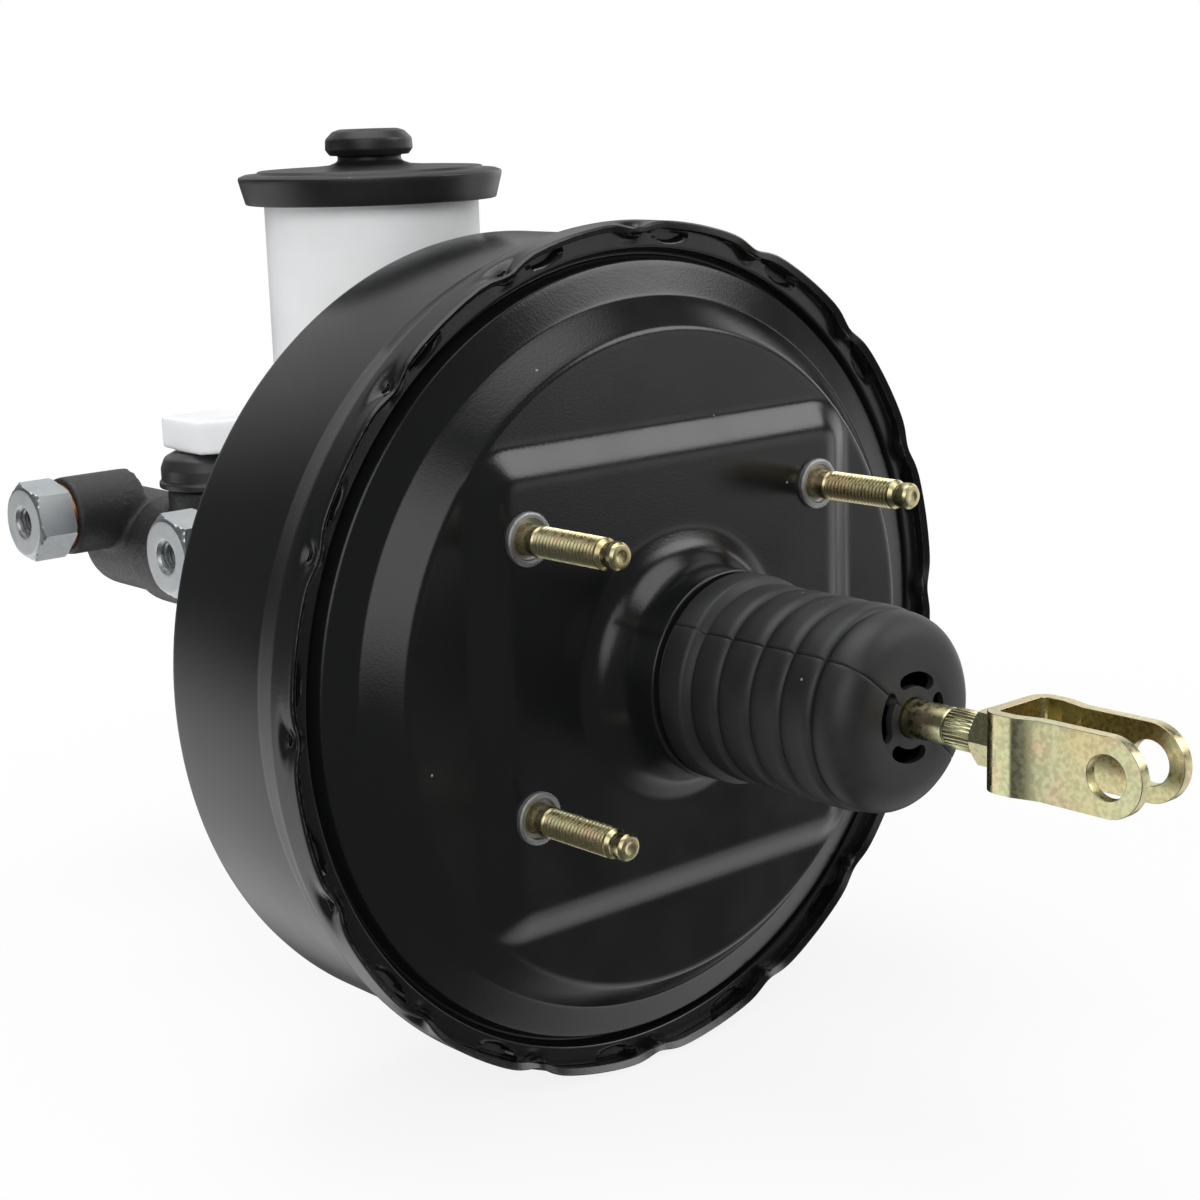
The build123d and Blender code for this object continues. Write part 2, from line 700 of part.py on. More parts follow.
def cup(groove):
    return face_of([
        (slide_radius - 4.2, groove + 0.2), (slide_radius - 0.4, groove + 0.2),
        (slide_radius, groove + 3.6), (slide_radius - 1.6, groove + 3.6),
        (slide_radius - 2.2, groove + 1.6), (slide_radius - 4.2, groove + 1.6),
    ])


primary_grooves = (primary_back + 6, primary_front - 14)
secondary_grooves = (secondary_back + 5, secondary_front - 14)
with BuildPart() as primary_piston:
    revolve(face_of(piston(primary_back, primary_front, primary_grooves, 5.0, 9.5)), axis=Axis.Y)
save(primary_piston, "primary_piston")
with BuildPart() as secondary_piston:
    revolve(face_of(piston(secondary_back, secondary_front, secondary_grooves, 5.0, 0)),
            axis=Axis.Y)
save(secondary_piston, "secondary_piston")
with BuildPart() as primary_cups:
    for g in primary_grooves:
        revolve(cup(g), axis=Axis.Y)
save(primary_cups, "primary_cups")
with BuildPart() as secondary_cups:
    for g in secondary_grooves:
        revolve(cup(g), axis=Axis.Y)
save(secondary_cups, "secondary_cups")
with BuildPart() as primary_spring:
    add(coil(1.1, 7.6, primary_front - 7.9, secondary_back, 6.0).part)
save(primary_spring, "primary_spring")
with BuildPart() as secondary_spring:
    add(coil(1.1, 7.6, secondary_front - 7.9, bore_end, 7.0).part)
save(secondary_spring, "secondary_spring")
with BuildPart() as piston_stop:
    revolve(ring(bore_radius - 2.6, bore_radius, spigot_back + 1.5, spigot_back + 3.0),
            axis=Axis.Y)
save(piston_stop, "piston_stop")
with BuildPart() as front_seal:
    revolve(face_of([
        (pilot_hole_radius, nose_front - sheet - 4), (seal_radius, nose_front - sheet - 4),
        (seal_radius, nose_front - sheet), (pilot_hole_radius, nose_front - sheet),
    ]), axis=Axis.Y)
save(front_seal, "front_seal")

# ---- reservoir -------------------------------------------------------------------------------------
arm_end = front_port_y + arm_half_width


def arm_outline(half, plane_z, tall):
    with BuildPart() as block:
        with BuildSketch(Plane.XY.offset(plane_z)):
            with BuildLine():
                Polyline((-half, front_port_y), (-half, rear_port_y), (half, rear_port_y),
                         (half, front_port_y))
                ThreePointArc((half, front_port_y), (0, front_port_y + half),
                              (-half, front_port_y))
            make_face()
        extrude(amount=tall)
    return block.part


def arm_side(inset):
    back_low = arm_front_level + arm_rise + inset
    back_high = back_low + arm_height - 2 * inset
    low = arm_front_level + inset
    high = low + arm_height - 2 * inset
    bend = rear_port_y + tank_radius
    return [
        (rear_port_y, back_low), (bend, back_low), (front_port_y - arm_half_width, low),
        (arm_end + 1, low), (arm_end + 1, high), (front_port_y - arm_half_width, high + 0.4),
        (bend, back_high), (rear_port_y, back_high),
    ]


def arm_solid(inset):
    with BuildPart() as arm:
        extrude(face_of(arm_side(inset), Plane.YZ), amount=40, both=True)
        add(arm_outline(arm_half_width - inset, 20, 60), mode=Mode.INTERSECT)
    return arm.part


def tank_profile(inset):
    r = tank_radius - inset
    low = arm_front_level + arm_rise + inset
    return [
        (0, low), (spigot_nylon_radius + 6 - inset, low), (r - 9, tank_bottom - 2 + inset),
        (r, tank_bottom + 8 + inset * 0.4), (r, tank_top + (1 if inset else 0)),
        (0, tank_top + (1 if inset else 0)),
    ]


tank_plane = Plane(origin=(0, rear_port_y, 0), x_dir=(1, 0, 0), z_dir=(0, -1, 0))
tank_axis = Axis((0, rear_port_y, 0), (0, 0, 1))
with BuildPart() as reservoir:
    revolve(face_of(tank_profile(0), tank_plane), axis=tank_axis)
    add(arm_solid(0))
    extrude(disc_on(Plane.XY.offset(port_floor + 2), spigot_nylon_radius, (0, rear_port_y)),
            amount=tank_bottom - port_floor)
    extrude(disc_on(Plane.XY.offset(port_floor + 2), spigot_nylon_radius, (0, front_port_y)),
            amount=arm_front_level - port_floor)
    revolve(face_of(tank_profile(tank_wall), tank_plane), axis=tank_axis, mode=Mode.SUBTRACT)
    add(arm_solid(tank_wall), mode=Mode.SUBTRACT)
    for y in (rear_port_y, front_port_y):
        extrude(disc_on(Plane.XY.offset(port_floor), spigot_bore, (0, y)), amount=32,
                mode=Mode.SUBTRACT)
save(reservoir, "reservoir")

grommet_skirt = grommet_radius + 0.8
grommet_profile = [
    (spigot_nylon_radius, port_floor + 1.0), (port_bore - 0.6, port_floor + 1.0),
    (port_bore, port_floor + 2.2), (port_bore, port_top), (grommet_skirt, port_top),
    (grommet_skirt, port_top + 1.6), (grommet_radius, port_top + 2.2),
    (grommet_radius, grommet_top - 5.0), (grommet_radius - 1.6, grommet_top - 1.6),
    (grommet_radius - 4.6, grommet_top), (spigot_nylon_radius, grommet_top),
]
with BuildPart() as grommets:
    for y in (rear_port_y, front_port_y):
        place = Plane(origin=(0, y, 0), x_dir=(1, 0, 0), z_dir=(0, -1, 0))
        revolve(face_of(grommet_profile, place), axis=Axis((0, y, 0), (0, 0, 1)))
save(grommets, "grommets")

# ---- cap -------------------------------------------------------------------------------------------
cap_roof = tank_top + free_gap
cap_slip = tank_radius + free_gap
with BuildPart() as reservoir_cap:
    revolve(face_of([
        (0, cap_roof), (cap_slip, cap_roof), (cap_slip, cap_bottom), (cap_bottom_radius, cap_bottom),
        (cap_top_radius, cap_top - 0.6), (cap_top_radius - 0.6, cap_top), (32.0, cap_top + 1.4),
        (20.0, cap_top + 1.8), (knob_neck_radius + 3.0, cap_top + 2.4),
        (knob_neck_radius, cap_top + 3.2), (knob_neck_radius, knob_bottom),
        (knob_radius - 1.4, knob_bottom), (knob_radius, knob_bottom + 1.8),
        (knob_radius - 0.2, knob_top - 3.0), (knob_radius - 2.4, knob_top - 0.9),
        (knob_radius - 4.8, knob_top), (knob_radius - 7.0, knob_top - 0.9), (0, knob_top - 1.2),
    ], tank_plane), axis=tank_axis)
save(reservoir_cap, "reservoir_cap")
skirt = tank_radius - tank_wall - free_gap
with BuildPart() as cap_diaphragm:
    revolve(face_of([
        (0, cap_roof - 1.2), (skirt - 2.0, cap_roof - 1.2), (skirt - 2.0, cap_roof - 12.0),
        (skirt - 0.4, cap_roof - 12.0), (skirt - 0.4, cap_roof), (0, cap_roof),
    ], tank_plane), axis=tank_axis)
save(cap_diaphragm, "cap_diaphragm")

# ---- vacuum check valve --------------------------------------------------------------------------
valve_plane = Plane(origin=(valve_x, 0, valve_z), x_dir=(1, 0, 0), z_dir=(0, 0, 1))
valve_axis = Axis((valve_x, 0, valve_z), (0, 1, 0))
valve_seat = nose_front
with BuildPart() as valve_grommet:
    revolve(face_of([
        (7.0, valve_seat - sheet - 2.0), (valve_radius + 3, valve_seat - sheet - 2.0),
        (valve_radius + 3, valve_seat - sheet), (valve_radius + 1, valve_seat - sheet),
        (valve_radius + 1, valve_seat), (valve_radius + 3, valve_seat),
        (valve_radius + 3, valve_seat + 2.5), (7.0, valve_seat + 2.5),
    ], valve_plane), axis=valve_axis)
save(valve_grommet, "valve_grommet")
with BuildPart() as check_valve:
    revolve(face_of([
        (3.0, valve_seat - sheet - 4.0), (7.6, valve_seat - sheet - 4.0),
        (7.0, valve_seat - sheet - 2.0), (7.0, valve_seat + 2.5), (valve_radius, valve_seat + 2.5),
        (valve_radius, valve_seat + 12.0), (nipple_radius, valve_seat + 14.0),
        (nipple_radius, nipple_end - 6.0), (nipple_radius - 0.5, nipple_end - 5.5),
        (nipple_radius - 0.1, nipple_end - 4.5), (nipple_radius - 1.2, nipple_end), (3.0, nipple_end),
    ], valve_plane), axis=valve_axis)
save(check_valve, "check_valve")
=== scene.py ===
"""Looks of a vacuum brake booster with its master cylinder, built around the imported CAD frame.

Run as a script, it draws every piece, dresses the CAD nodes that keep their own shape and sets up a plain studio.
"""
import math

import bmesh
import bpy
from mathutils import Matrix, Vector


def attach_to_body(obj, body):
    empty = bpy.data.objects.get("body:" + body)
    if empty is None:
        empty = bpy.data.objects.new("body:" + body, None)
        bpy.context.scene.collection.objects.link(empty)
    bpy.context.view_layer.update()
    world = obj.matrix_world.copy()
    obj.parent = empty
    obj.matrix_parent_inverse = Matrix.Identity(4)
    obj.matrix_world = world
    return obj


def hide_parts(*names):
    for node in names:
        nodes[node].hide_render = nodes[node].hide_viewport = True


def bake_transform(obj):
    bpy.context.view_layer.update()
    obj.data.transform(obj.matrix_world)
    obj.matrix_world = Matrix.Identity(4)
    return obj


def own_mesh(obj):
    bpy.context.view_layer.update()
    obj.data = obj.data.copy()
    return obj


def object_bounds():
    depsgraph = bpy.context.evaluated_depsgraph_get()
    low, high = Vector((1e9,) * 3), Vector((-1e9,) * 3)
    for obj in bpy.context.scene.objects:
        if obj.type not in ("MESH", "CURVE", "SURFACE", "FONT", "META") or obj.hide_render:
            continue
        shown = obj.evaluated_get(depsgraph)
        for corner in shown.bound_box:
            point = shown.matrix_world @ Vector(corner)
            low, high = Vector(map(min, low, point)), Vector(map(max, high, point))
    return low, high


bl_info = {
    "name": "Brake Booster",
    "version": (1, 0, 0),
    "blender": (4, 5, 0),
    "location": "3D View > Sidebar > Booster",
    "description": "Draws a brake booster, its master cylinder and a studio around the CAD frame",
    "category": "Object",
}

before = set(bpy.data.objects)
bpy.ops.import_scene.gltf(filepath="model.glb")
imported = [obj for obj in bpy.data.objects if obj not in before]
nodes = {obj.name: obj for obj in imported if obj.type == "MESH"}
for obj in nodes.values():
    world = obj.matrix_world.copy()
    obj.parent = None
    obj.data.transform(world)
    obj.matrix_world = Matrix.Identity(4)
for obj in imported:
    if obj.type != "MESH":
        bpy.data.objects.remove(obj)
cad_box = [list(corner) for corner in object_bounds()]

MM = 0.001
AXIS_Z = -5.6          # height of the booster's own axis, mm
LANCES = 16            # places where the rim is pressed in over the rear shell
PLATEAU = (60.0, 57.5, 69.0, 64.5)   # half width and height of the pressed plateau: top, then foot


# ---- mesh helpers ------------------------------------------------------------------------------
def fillet(points, radius, steps=4):
    """Round the corners of a path of (radius, y) points; a third value is that corner's own radius."""
    out = [tuple(points[0][:2])]
    for before, here, after in zip(points, points[1:], points[2:]):
        bend = here[2] if len(here) > 2 else radius
        p = Vector(here[:2])
        u, v = Vector(before[:2]) - p, Vector(after[:2]) - p
        reach_limit = 0.49 * min(u.length, v.length)
        u.normalize()
        v.normalize()
        half = math.acos(max(-1.0, min(1.0, u.dot(v)))) / 2
        if bend <= 0 or half > math.radians(88.5):
            out.append(tuple(p))
            continue
        reach = min(bend / math.tan(half), reach_limit)
        bend = reach * math.tan(half)
        centre = p + (u + v).normalized() * (bend / math.sin(half))
        first, last = p + u * reach - centre, p + v * reach - centre
        start = math.atan2(first.y, first.x)
        turn = math.atan2(last.y, last.x) - start
        turn = (turn + math.pi) % (2 * math.pi) - math.pi
        for k in range(steps + 1):
            a = start + turn * k / steps
            out.append((centre.x + bend * math.cos(a), centre.y + bend * math.sin(a)))
    out.append(tuple(points[-1][:2]))
    return out


def divide(path, step):
    """Split the long runs of a path, so that no run is longer than step."""
    out = [path[0]]
    for a, b in zip(path, path[1:]):
        n = max(1, math.ceil(math.dist(a, b) / step))
        out += [(a[0] + (b[0] - a[0]) * k / n, a[1] + (b[1] - a[1]) * k / n) for k in range(1, n + 1)]
    return out


def smooth_min(a, b, blend):
    near = max(blend - abs(a - b), 0.0) / blend
    return min(a, b) - near * near * blend / 4


def smooth_max(a, b, blend):
    return -smooth_min(-a, -b, blend)


def turned_mesh(name, path, angles, shape=None, skip=None, centre=(0.0, 0.0, AXIS_Z), upright=False):
    """Surface of revolution about the booster axis, or about an upright axis through centre.

    shape(row, r, y, a) moves a point, and skip(row, y, a) leaves a face out. A path that runs towards -Y
    (upright: downwards) faces outwards.
    """
    columns = len(angles)
    points = []
    for row, (r, y) in enumerate(path):
        for a in angles:
            rr, yy, aa = shape(row, r, y, a) if shape else (r, y, a)
            if upright:
                points.append(((centre[0] + rr * math.cos(aa)) * MM, (centre[1] + rr * math.sin(aa)) * MM,
                               (centre[2] + yy) * MM))
            else:
                points.append(((centre[0] + rr * math.cos(aa)) * MM, (centre[1] + yy) * MM,
                               (centre[2] + rr * math.sin(aa)) * MM))
    faces = []
    for row in range(len(path) - 1):
        for j in range(columns):
            n = (j + 1) % columns
            if skip:
                middle = angles[j] + ((angles[n] - angles[j]) % (2 * math.pi)) / 2
                if skip(row, (path[row][1] + path[row + 1][1]) / 2, middle):
                    continue
            quad = (row * columns + j, row * columns + n, (row + 1) * columns + n, (row + 1) * columns + j)
            faces.append(quad[::-1] if upright else quad)
    mesh = bpy.data.meshes.new(name)
    mesh.from_pydata(points, [], faces)
    return mesh


def even_angles(count, start=0.0):
    return [start + 2 * math.pi * k / count for k in range(count)]


def close_poles(mesh, distance=1e-6):
    """Merge coincident points and drop faces that collapse, as at the end of a turned path on its axis."""
    work = bmesh.new()
    work.from_mesh(mesh)
    bmesh.ops.remove_doubles(work, verts=work.verts, dist=distance)
    bmesh.ops.dissolve_degenerate(work, edges=work.edges, dist=distance)
    work.to_mesh(mesh)
    work.free()


def shade(mesh, limit=32.0):
    """Smooth shading that breaks at corners sharper than limit, in degrees."""
    work = bmesh.new()
    work.from_mesh(mesh)
    for face in work.faces:
        face.smooth = True
    for edge in work.edges:
        edge.smooth = len(edge.link_faces) != 2 or edge.calc_face_angle(0.0) < math.radians(limit)
    work.to_mesh(mesh)
    work.free()


def new_piece(name, mesh, finish, body, replaced=(), limit=32.0):
    """Object of a finished mesh: its material, the body it rides on and the nodes it stands for."""
    piece = bpy.data.objects.new(name, mesh)
    bpy.context.scene.collection.objects.link(piece)
    if finish:
        mesh.materials.clear()
        mesh.materials.append(materials[finish])
    if limit:
        shade(mesh, limit)
    attach(piece, body, replaced)
    return piece


def attach(piece, body, replaced=()):
    if body:
        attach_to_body(piece, body)
    if replaced:
        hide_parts(*replaced)


def baked(piece):
    """Plain mesh of an object with its modifiers applied."""
    graph = bpy.context.evaluated_depsgraph_get()
    graph.update()
    return bpy.data.meshes.new_from_object(piece.evaluated_get(graph), depsgraph=graph)


def with_modifiers(name, mesh, *modifiers):
    """Mesh that (type, settings) modifiers make of another one."""
    helper = bpy.data.objects.new(name, mesh)
    bpy.context.scene.collection.objects.link(helper)
    for kind, settings in modifiers:
        modifier = helper.modifiers.new(kind.lower(), kind)
        for key, value in settings.items():
            setattr(modifier, key, value)
    result = baked(helper)
    bpy.data.objects.remove(helper)
    result.name = name
    return result


def thicken(mesh, wall):
    return with_modifiers(mesh.name, mesh, ("SOLIDIFY", {"thickness": wall * MM, "offset": -1.0,
                                                         "use_even_offset": True}))


def merged_copy(node, flatten=0.8):
    """Copy of a CAD node's mesh with its points merged and its flat sides made whole."""
    mesh = nodes[node].data.copy()
    work = bmesh.new()
    work.from_mesh(mesh)
    bmesh.ops.remove_doubles(work, verts=work.verts, dist=2e-6)
    if flatten:
        bmesh.ops.dissolve_limit(work, angle_limit=math.radians(flatten), verts=work.verts,
                                 edges=work.edges)
    work.to_mesh(mesh)
    work.free()
    return mesh


def eased_copy(node, width, segments=2, angle=32.0):
    """Copy of a CAD node with its sharp edges eased and its flat sides kept flat in the shading."""
    mesh = merged_copy(node)
    shade(mesh, angle)
    return with_modifiers(node + "_eased", mesh, ("BEVEL", {
        "width": width * MM, "segments": segments, "limit_method": "ANGLE",
        "angle_limit": math.radians(angle), "use_clamp_overlap": True}),
        ("WEIGHTED_NORMAL", {"mode": "FACE_AREA", "weight": 60, "keep_sharp": False}))


def joined(name, meshes):
    """One mesh of several, with the material slots of each kept in order."""
    work = bmesh.new()
    for mesh in meshes:
        work.from_mesh(mesh)
    out = bpy.data.meshes.new(name)
    work.to_mesh(out)
    work.free()
    return out


# ---- geometry node helpers ---------------------------------------------------------------------
def geometry_tree(name, inputs):
    """New geometry tree with a Geometry input first; returns the tree, its graph, input and output."""
    tree = bpy.data.node_groups.new(name, "GeometryNodeTree")
    tree.interface.new_socket(name="Geometry", in_out="INPUT", socket_type="NodeSocketGeometry")
    for label, kind, default in inputs:
        socket = tree.interface.new_socket(name=label, in_out="INPUT", socket_type=kind)
        if default is not None:
            socket.default_value = default
    tree.interface.new_socket(name="Geometry", in_out="OUTPUT", socket_type="NodeSocketGeometry")
    return tree, Graph(tree), tree.nodes.new("NodeGroupInput"), tree.nodes.new("NodeGroupOutput")


def run_tree(name, mesh, tree, **values):
    """Plain mesh that a geometry tree makes of another one; values go to its inputs by name."""
    helper = bpy.data.objects.new(name, mesh)
    bpy.context.scene.collection.objects.link(helper)
    modifier = helper.modifiers.new(tree.name, "NODES")
    modifier.node_group = tree
    for item in tree.interface.items_tree:
        key = item.name.replace(" ", "_")
        if item.in_out == "INPUT" and key in values:
            modifier[item.identifier] = values[key]
    result = baked(helper)
    bpy.data.objects.remove(helper)
    result.name = name
    work = bmesh.new()
    work.from_mesh(result)
    bmesh.ops.recalc_face_normals(work, faces=work.faces)
    work.to_mesh(result)
    work.free()
    return result


def vector_of(g, **parts):
    node = g.add("ShaderNodeCombineXYZ")
    for key, value in parts.items():
        g.feed(node.inputs[key.upper()], value)
    return node.outputs[0]


def screw_thread(g, ins):
    """Helical ridge along -Y, from inputs Thread radius, Pitch, Depth, Turns and Start."""
    radius, pitch, depth = (ins.outputs[n] for n in ("Thread radius", "Pitch", "Depth"))
    turns, start = ins.outputs["Turns"], ins.outputs["Start"]
    spiral = g.add("GeometryNodeCurveSpiral")
    g.put(spiral, Resolution=40, Rotations=turns, Start_Radius=radius, End_Radius=radius,
          Height=g.math("MULTIPLY", turns, pitch))
    upright = g.add("GeometryNodeSetCurveNormal")
    upright.mode = "Z_UP"
    g.feed(upright.inputs["Curve"], spiral.outputs[0])
    section = g.add("GeometryNodeCurvePrimitiveQuadrilateral")
    section.mode = "POINTS"
    root, crest = g.math("MULTIPLY", pitch, 0.47), g.math("MULTIPLY", pitch, 0.07)
    foot, tip = g.math("MULTIPLY", depth, 0.15), g.math("MULTIPLY", depth, -1.0)
    corners = ((foot, g.math("MULTIPLY", root, -1.0)), (tip, g.math("MULTIPLY", crest, -1.0)),
               (tip, crest), (foot, root))
    for k, (x, y) in enumerate(corners, 1):
        g.feed(section.inputs["Point %d" % k], vector_of(g, x=x, y=y))
    ridge = g.add("GeometryNodeCurveToMesh")
    g.feed(ridge.inputs["Curve"], upright.outputs[0])
    g.feed(ridge.inputs["Profile Curve"], section.outputs[0])
    ridge.inputs["Fill Caps"].default_value = True
    laid = g.add("GeometryNodeTransform")
    g.feed(laid.inputs["Geometry"], ridge.outputs[0])
    g.feed(laid.inputs["Translation"], vector_of(g, y=start))
    laid.inputs["Rotation"].default_value = (math.pi / 2, 0, 0)
    return laid.outputs[0]


def at_four_corners(g, ins, geometry):
    """Instances of a geometry at the four corners of an upright rectangle, Spacing X by Spacing Z."""
    grid = g.add("GeometryNodeMeshGrid")
    g.put(grid, Size_X=ins.outputs["Spacing X"], Size_Y=ins.outputs["Spacing Z"], Vertices_X=2, Vertices_Y=2)
    stood = g.add("GeometryNodeTransform")
    g.feed(stood.inputs["Geometry"], grid.outputs[0])
    stood.inputs["Rotation"].default_value = (math.pi / 2, 0, 0)
    spread = g.add("GeometryNodeInstanceOnPoints")
    g.feed(spread.inputs["Points"], stood.outputs[0])
    g.feed(spread.inputs["Instance"], geometry)
    return spread.outputs[0]


def end_tree(g, outs, geometry, finish):
    real = g.add("GeometryNodeRealizeInstances")
    g.feed(real.inputs[0], geometry)
    coat = g.add("GeometryNodeSetMaterial")
    g.feed(coat.inputs["Geometry"], real.outputs[0])
    g.feed(coat.inputs["Material"], finish)
    g.feed(outs.inputs[0], coat.outputs[0])


GEO_FLOAT, GEO_INT, GEO_MATERIAL = "NodeSocketFloat", "NodeSocketInt", "NodeSocketMaterial"


def stud_tree():
    """Turned stud cores that come in get a screw thread and stand in a rectangle of four."""
    tree, g, ins, outs = geometry_tree("Threaded studs", [
        ("Thread radius", GEO_FLOAT, 0.0034), ("Pitch", GEO_FLOAT, 0.00125), ("Depth", GEO_FLOAT, 0.0006),
        ("Turns", GEO_FLOAT, 18.0), ("Start", GEO_FLOAT, -0.0064), ("Spacing X", GEO_FLOAT, 0.105),
        ("Spacing Z", GEO_FLOAT, 0.073), ("Finish", GEO_MATERIAL, None)])
    both = g.add("GeometryNodeJoinGeometry")
    g.feed(both.inputs[0], ins.outputs["Geometry"])
    g.feed(both.inputs[0], screw_thread(g, ins))
    end_tree(g, outs, at_four_corners(g, ins, both.outputs[0]), ins.outputs["Finish"])
    return tree


def collar_tree():
    """A turned ring that comes in gets teeth round its edge and stands in a rectangle of four."""
    tree, g, ins, outs = geometry_tree("Serrated collars", [
        ("Teeth", GEO_INT, 44), ("Edge radius", GEO_FLOAT, 0.007), ("Tooth", GEO_FLOAT, 0.0005),
        ("Height", GEO_FLOAT, 0.001), ("Spacing X", GEO_FLOAT, 0.105), ("Spacing Z", GEO_FLOAT, 0.073),
        ("Finish", GEO_MATERIAL, None)])
    circle = g.add("GeometryNodeMeshCircle")
    g.put(circle, Vertices=ins.outputs["Teeth"], Radius=ins.outputs["Edge radius"])
    cube = g.add("GeometryNodeMeshCube")
    tooth = ins.outputs["Tooth"]
    g.feed(cube.inputs["Size"], vector_of(g, x=tooth, y=tooth, z=ins.outputs["Height"]))
    place = g.add("GeometryNodeInputPosition")
    facing = g.add("FunctionNodeAlignRotationToVector")
    facing.axis = "X"
    g.feed(facing.inputs["Vector"], place.outputs[0])
    spread = g.add("GeometryNodeInstanceOnPoints")
    g.feed(spread.inputs["Points"], circle.outputs[0])
    g.feed(spread.inputs["Instance"], cube.outputs[0])
    g.feed(spread.inputs["Rotation"], facing.outputs[0])
    laid = g.add("GeometryNodeTransform")
    g.feed(laid.inputs["Geometry"], spread.outputs[0])
    laid.inputs["Rotation"].default_value = (math.pi / 2, 0, 0)
    g.feed(laid.inputs["Translation"], vector_of(g, y=g.math("MULTIPLY", ins.outputs["Height"], -0.5)))
    both = g.add("GeometryNodeJoinGeometry")
    g.feed(both.inputs[0], ins.outputs["Geometry"])
    g.feed(both.inputs[0], laid.outputs[0])
    end_tree(g, outs, at_four_corners(g, ins, both.outputs[0]), ins.outputs["Finish"])
    return tree


def bore_thread_tree():
    """A screw thread inside each of two bores that run along X, Gap apart along Y."""
    tree, g, ins, outs = geometry_tree("Union bore threads", [
        ("Thread radius", GEO_FLOAT, 0.0045), ("Pitch", GEO_FLOAT, 0.00125), ("Depth", GEO_FLOAT, -0.0006),
        ("Turns", GEO_FLOAT, 8.0), ("Start", GEO_FLOAT, 0.0), ("Face X", GEO_FLOAT, -0.049),
        ("First Y", GEO_FLOAT, 0.1815), ("Gap", GEO_FLOAT, 0.0927), ("Height", GEO_FLOAT, 0.0076),
        ("Finish", GEO_MATERIAL, None)])
    across = g.add("GeometryNodeTransform")
    g.feed(across.inputs["Geometry"], screw_thread(g, ins))
    across.inputs["Rotation"].default_value = (0, 0, math.pi / 2)
    line = g.add("GeometryNodeMeshLine")
    line.mode = "OFFSET"
    g.feed(line.inputs["Count"], 2)
    g.feed(line.inputs["Start Location"], vector_of(g, x=ins.outputs["Face X"], y=ins.outputs["First Y"],
                                                    z=ins.outputs["Height"]))
    g.feed(line.inputs["Offset"], vector_of(g, y=ins.outputs["Gap"]))
    spread = g.add("GeometryNodeInstanceOnPoints")
    g.feed(spread.inputs["Points"], line.outputs[0])
    g.feed(spread.inputs["Instance"], across.outputs[0])
    end_tree(g, outs, spread.outputs[0], ins.outputs["Finish"])
    return tree


# ---- what a user may change --------------------------------------------------------------------
def length(name, text, value, low, high):
    """A size in metres, shown with the scene's unit."""
    return bpy.props.FloatProperty(name=name, description=text, default=value * MM, min=low * MM,
                                   max=high * MM, subtype="DISTANCE", unit="LENGTH", precision=5)


def tint(name, text, value):
    return bpy.props.FloatVectorProperty(name=name, description=text, subtype="COLOR", size=3, min=0.0,
                                         max=1.0, default=value)


class BoosterSizes(bpy.types.PropertyGroup):
    """Sizes of the details that are drawn here"""
    lance_depth: length("Lance depth", "How far the rim is pressed in at each lance", 3.0, 0.0, 4.0)
    sheet: length("Sheet", "Thickness of the pressed steel shells", 2.0, 0.5, 3.0)
    plateau_blend: length("Plateau rounding", "Rounding where the plateau leaves the cone", 0.5, 0.5, 5.0)
    thread_pitch: length("Stud pitch", "Pitch of the firewall studs' thread", 1.25, 0.5, 2.0)
    thread_depth: length("Thread depth", "Depth of the firewall studs' thread", 0.62, 0.2, 1.0)
    collar_teeth: bpy.props.IntProperty(name="Collar teeth", description="Teeth round each stud collar",
                                        default=44, min=8, max=90)
    boot_wall: length("Boot wall", "Thickness of the dust boot", 1.8, 0.8, 3.0)
    fold_rise: length("Fold rise", "How far each boot fold swells past its notch", 1.5, 0.2, 2.0)
    cast_grain: length("Casting rounding", "Voxel size that rounds the casting's edges", 1.0, 0.7, 2.0)


class BoosterColours(bpy.types.PropertyGroup):
    """Colours of the finishes"""
    paint: tint("Paint", "Gloss black of the shells", (0.006, 0.0063, 0.0068))
    casting: tint("Casting", "Painted cast iron of the master cylinder", (0.02, 0.02, 0.0205))
    chromate: tint("Yellow zinc", "Passivated studs, rod and clevis", (0.66, 0.55, 0.29))
    zinc: tint("Bright zinc", "Unions, nuts and washers", (0.60, 0.64, 0.66))
    rubber: tint("Rubber", "Dust boot", (0.011, 0.0113, 0.0118))
    tank: tint("Nylon", "Fluid reservoir", (0.83, 0.84, 0.855))


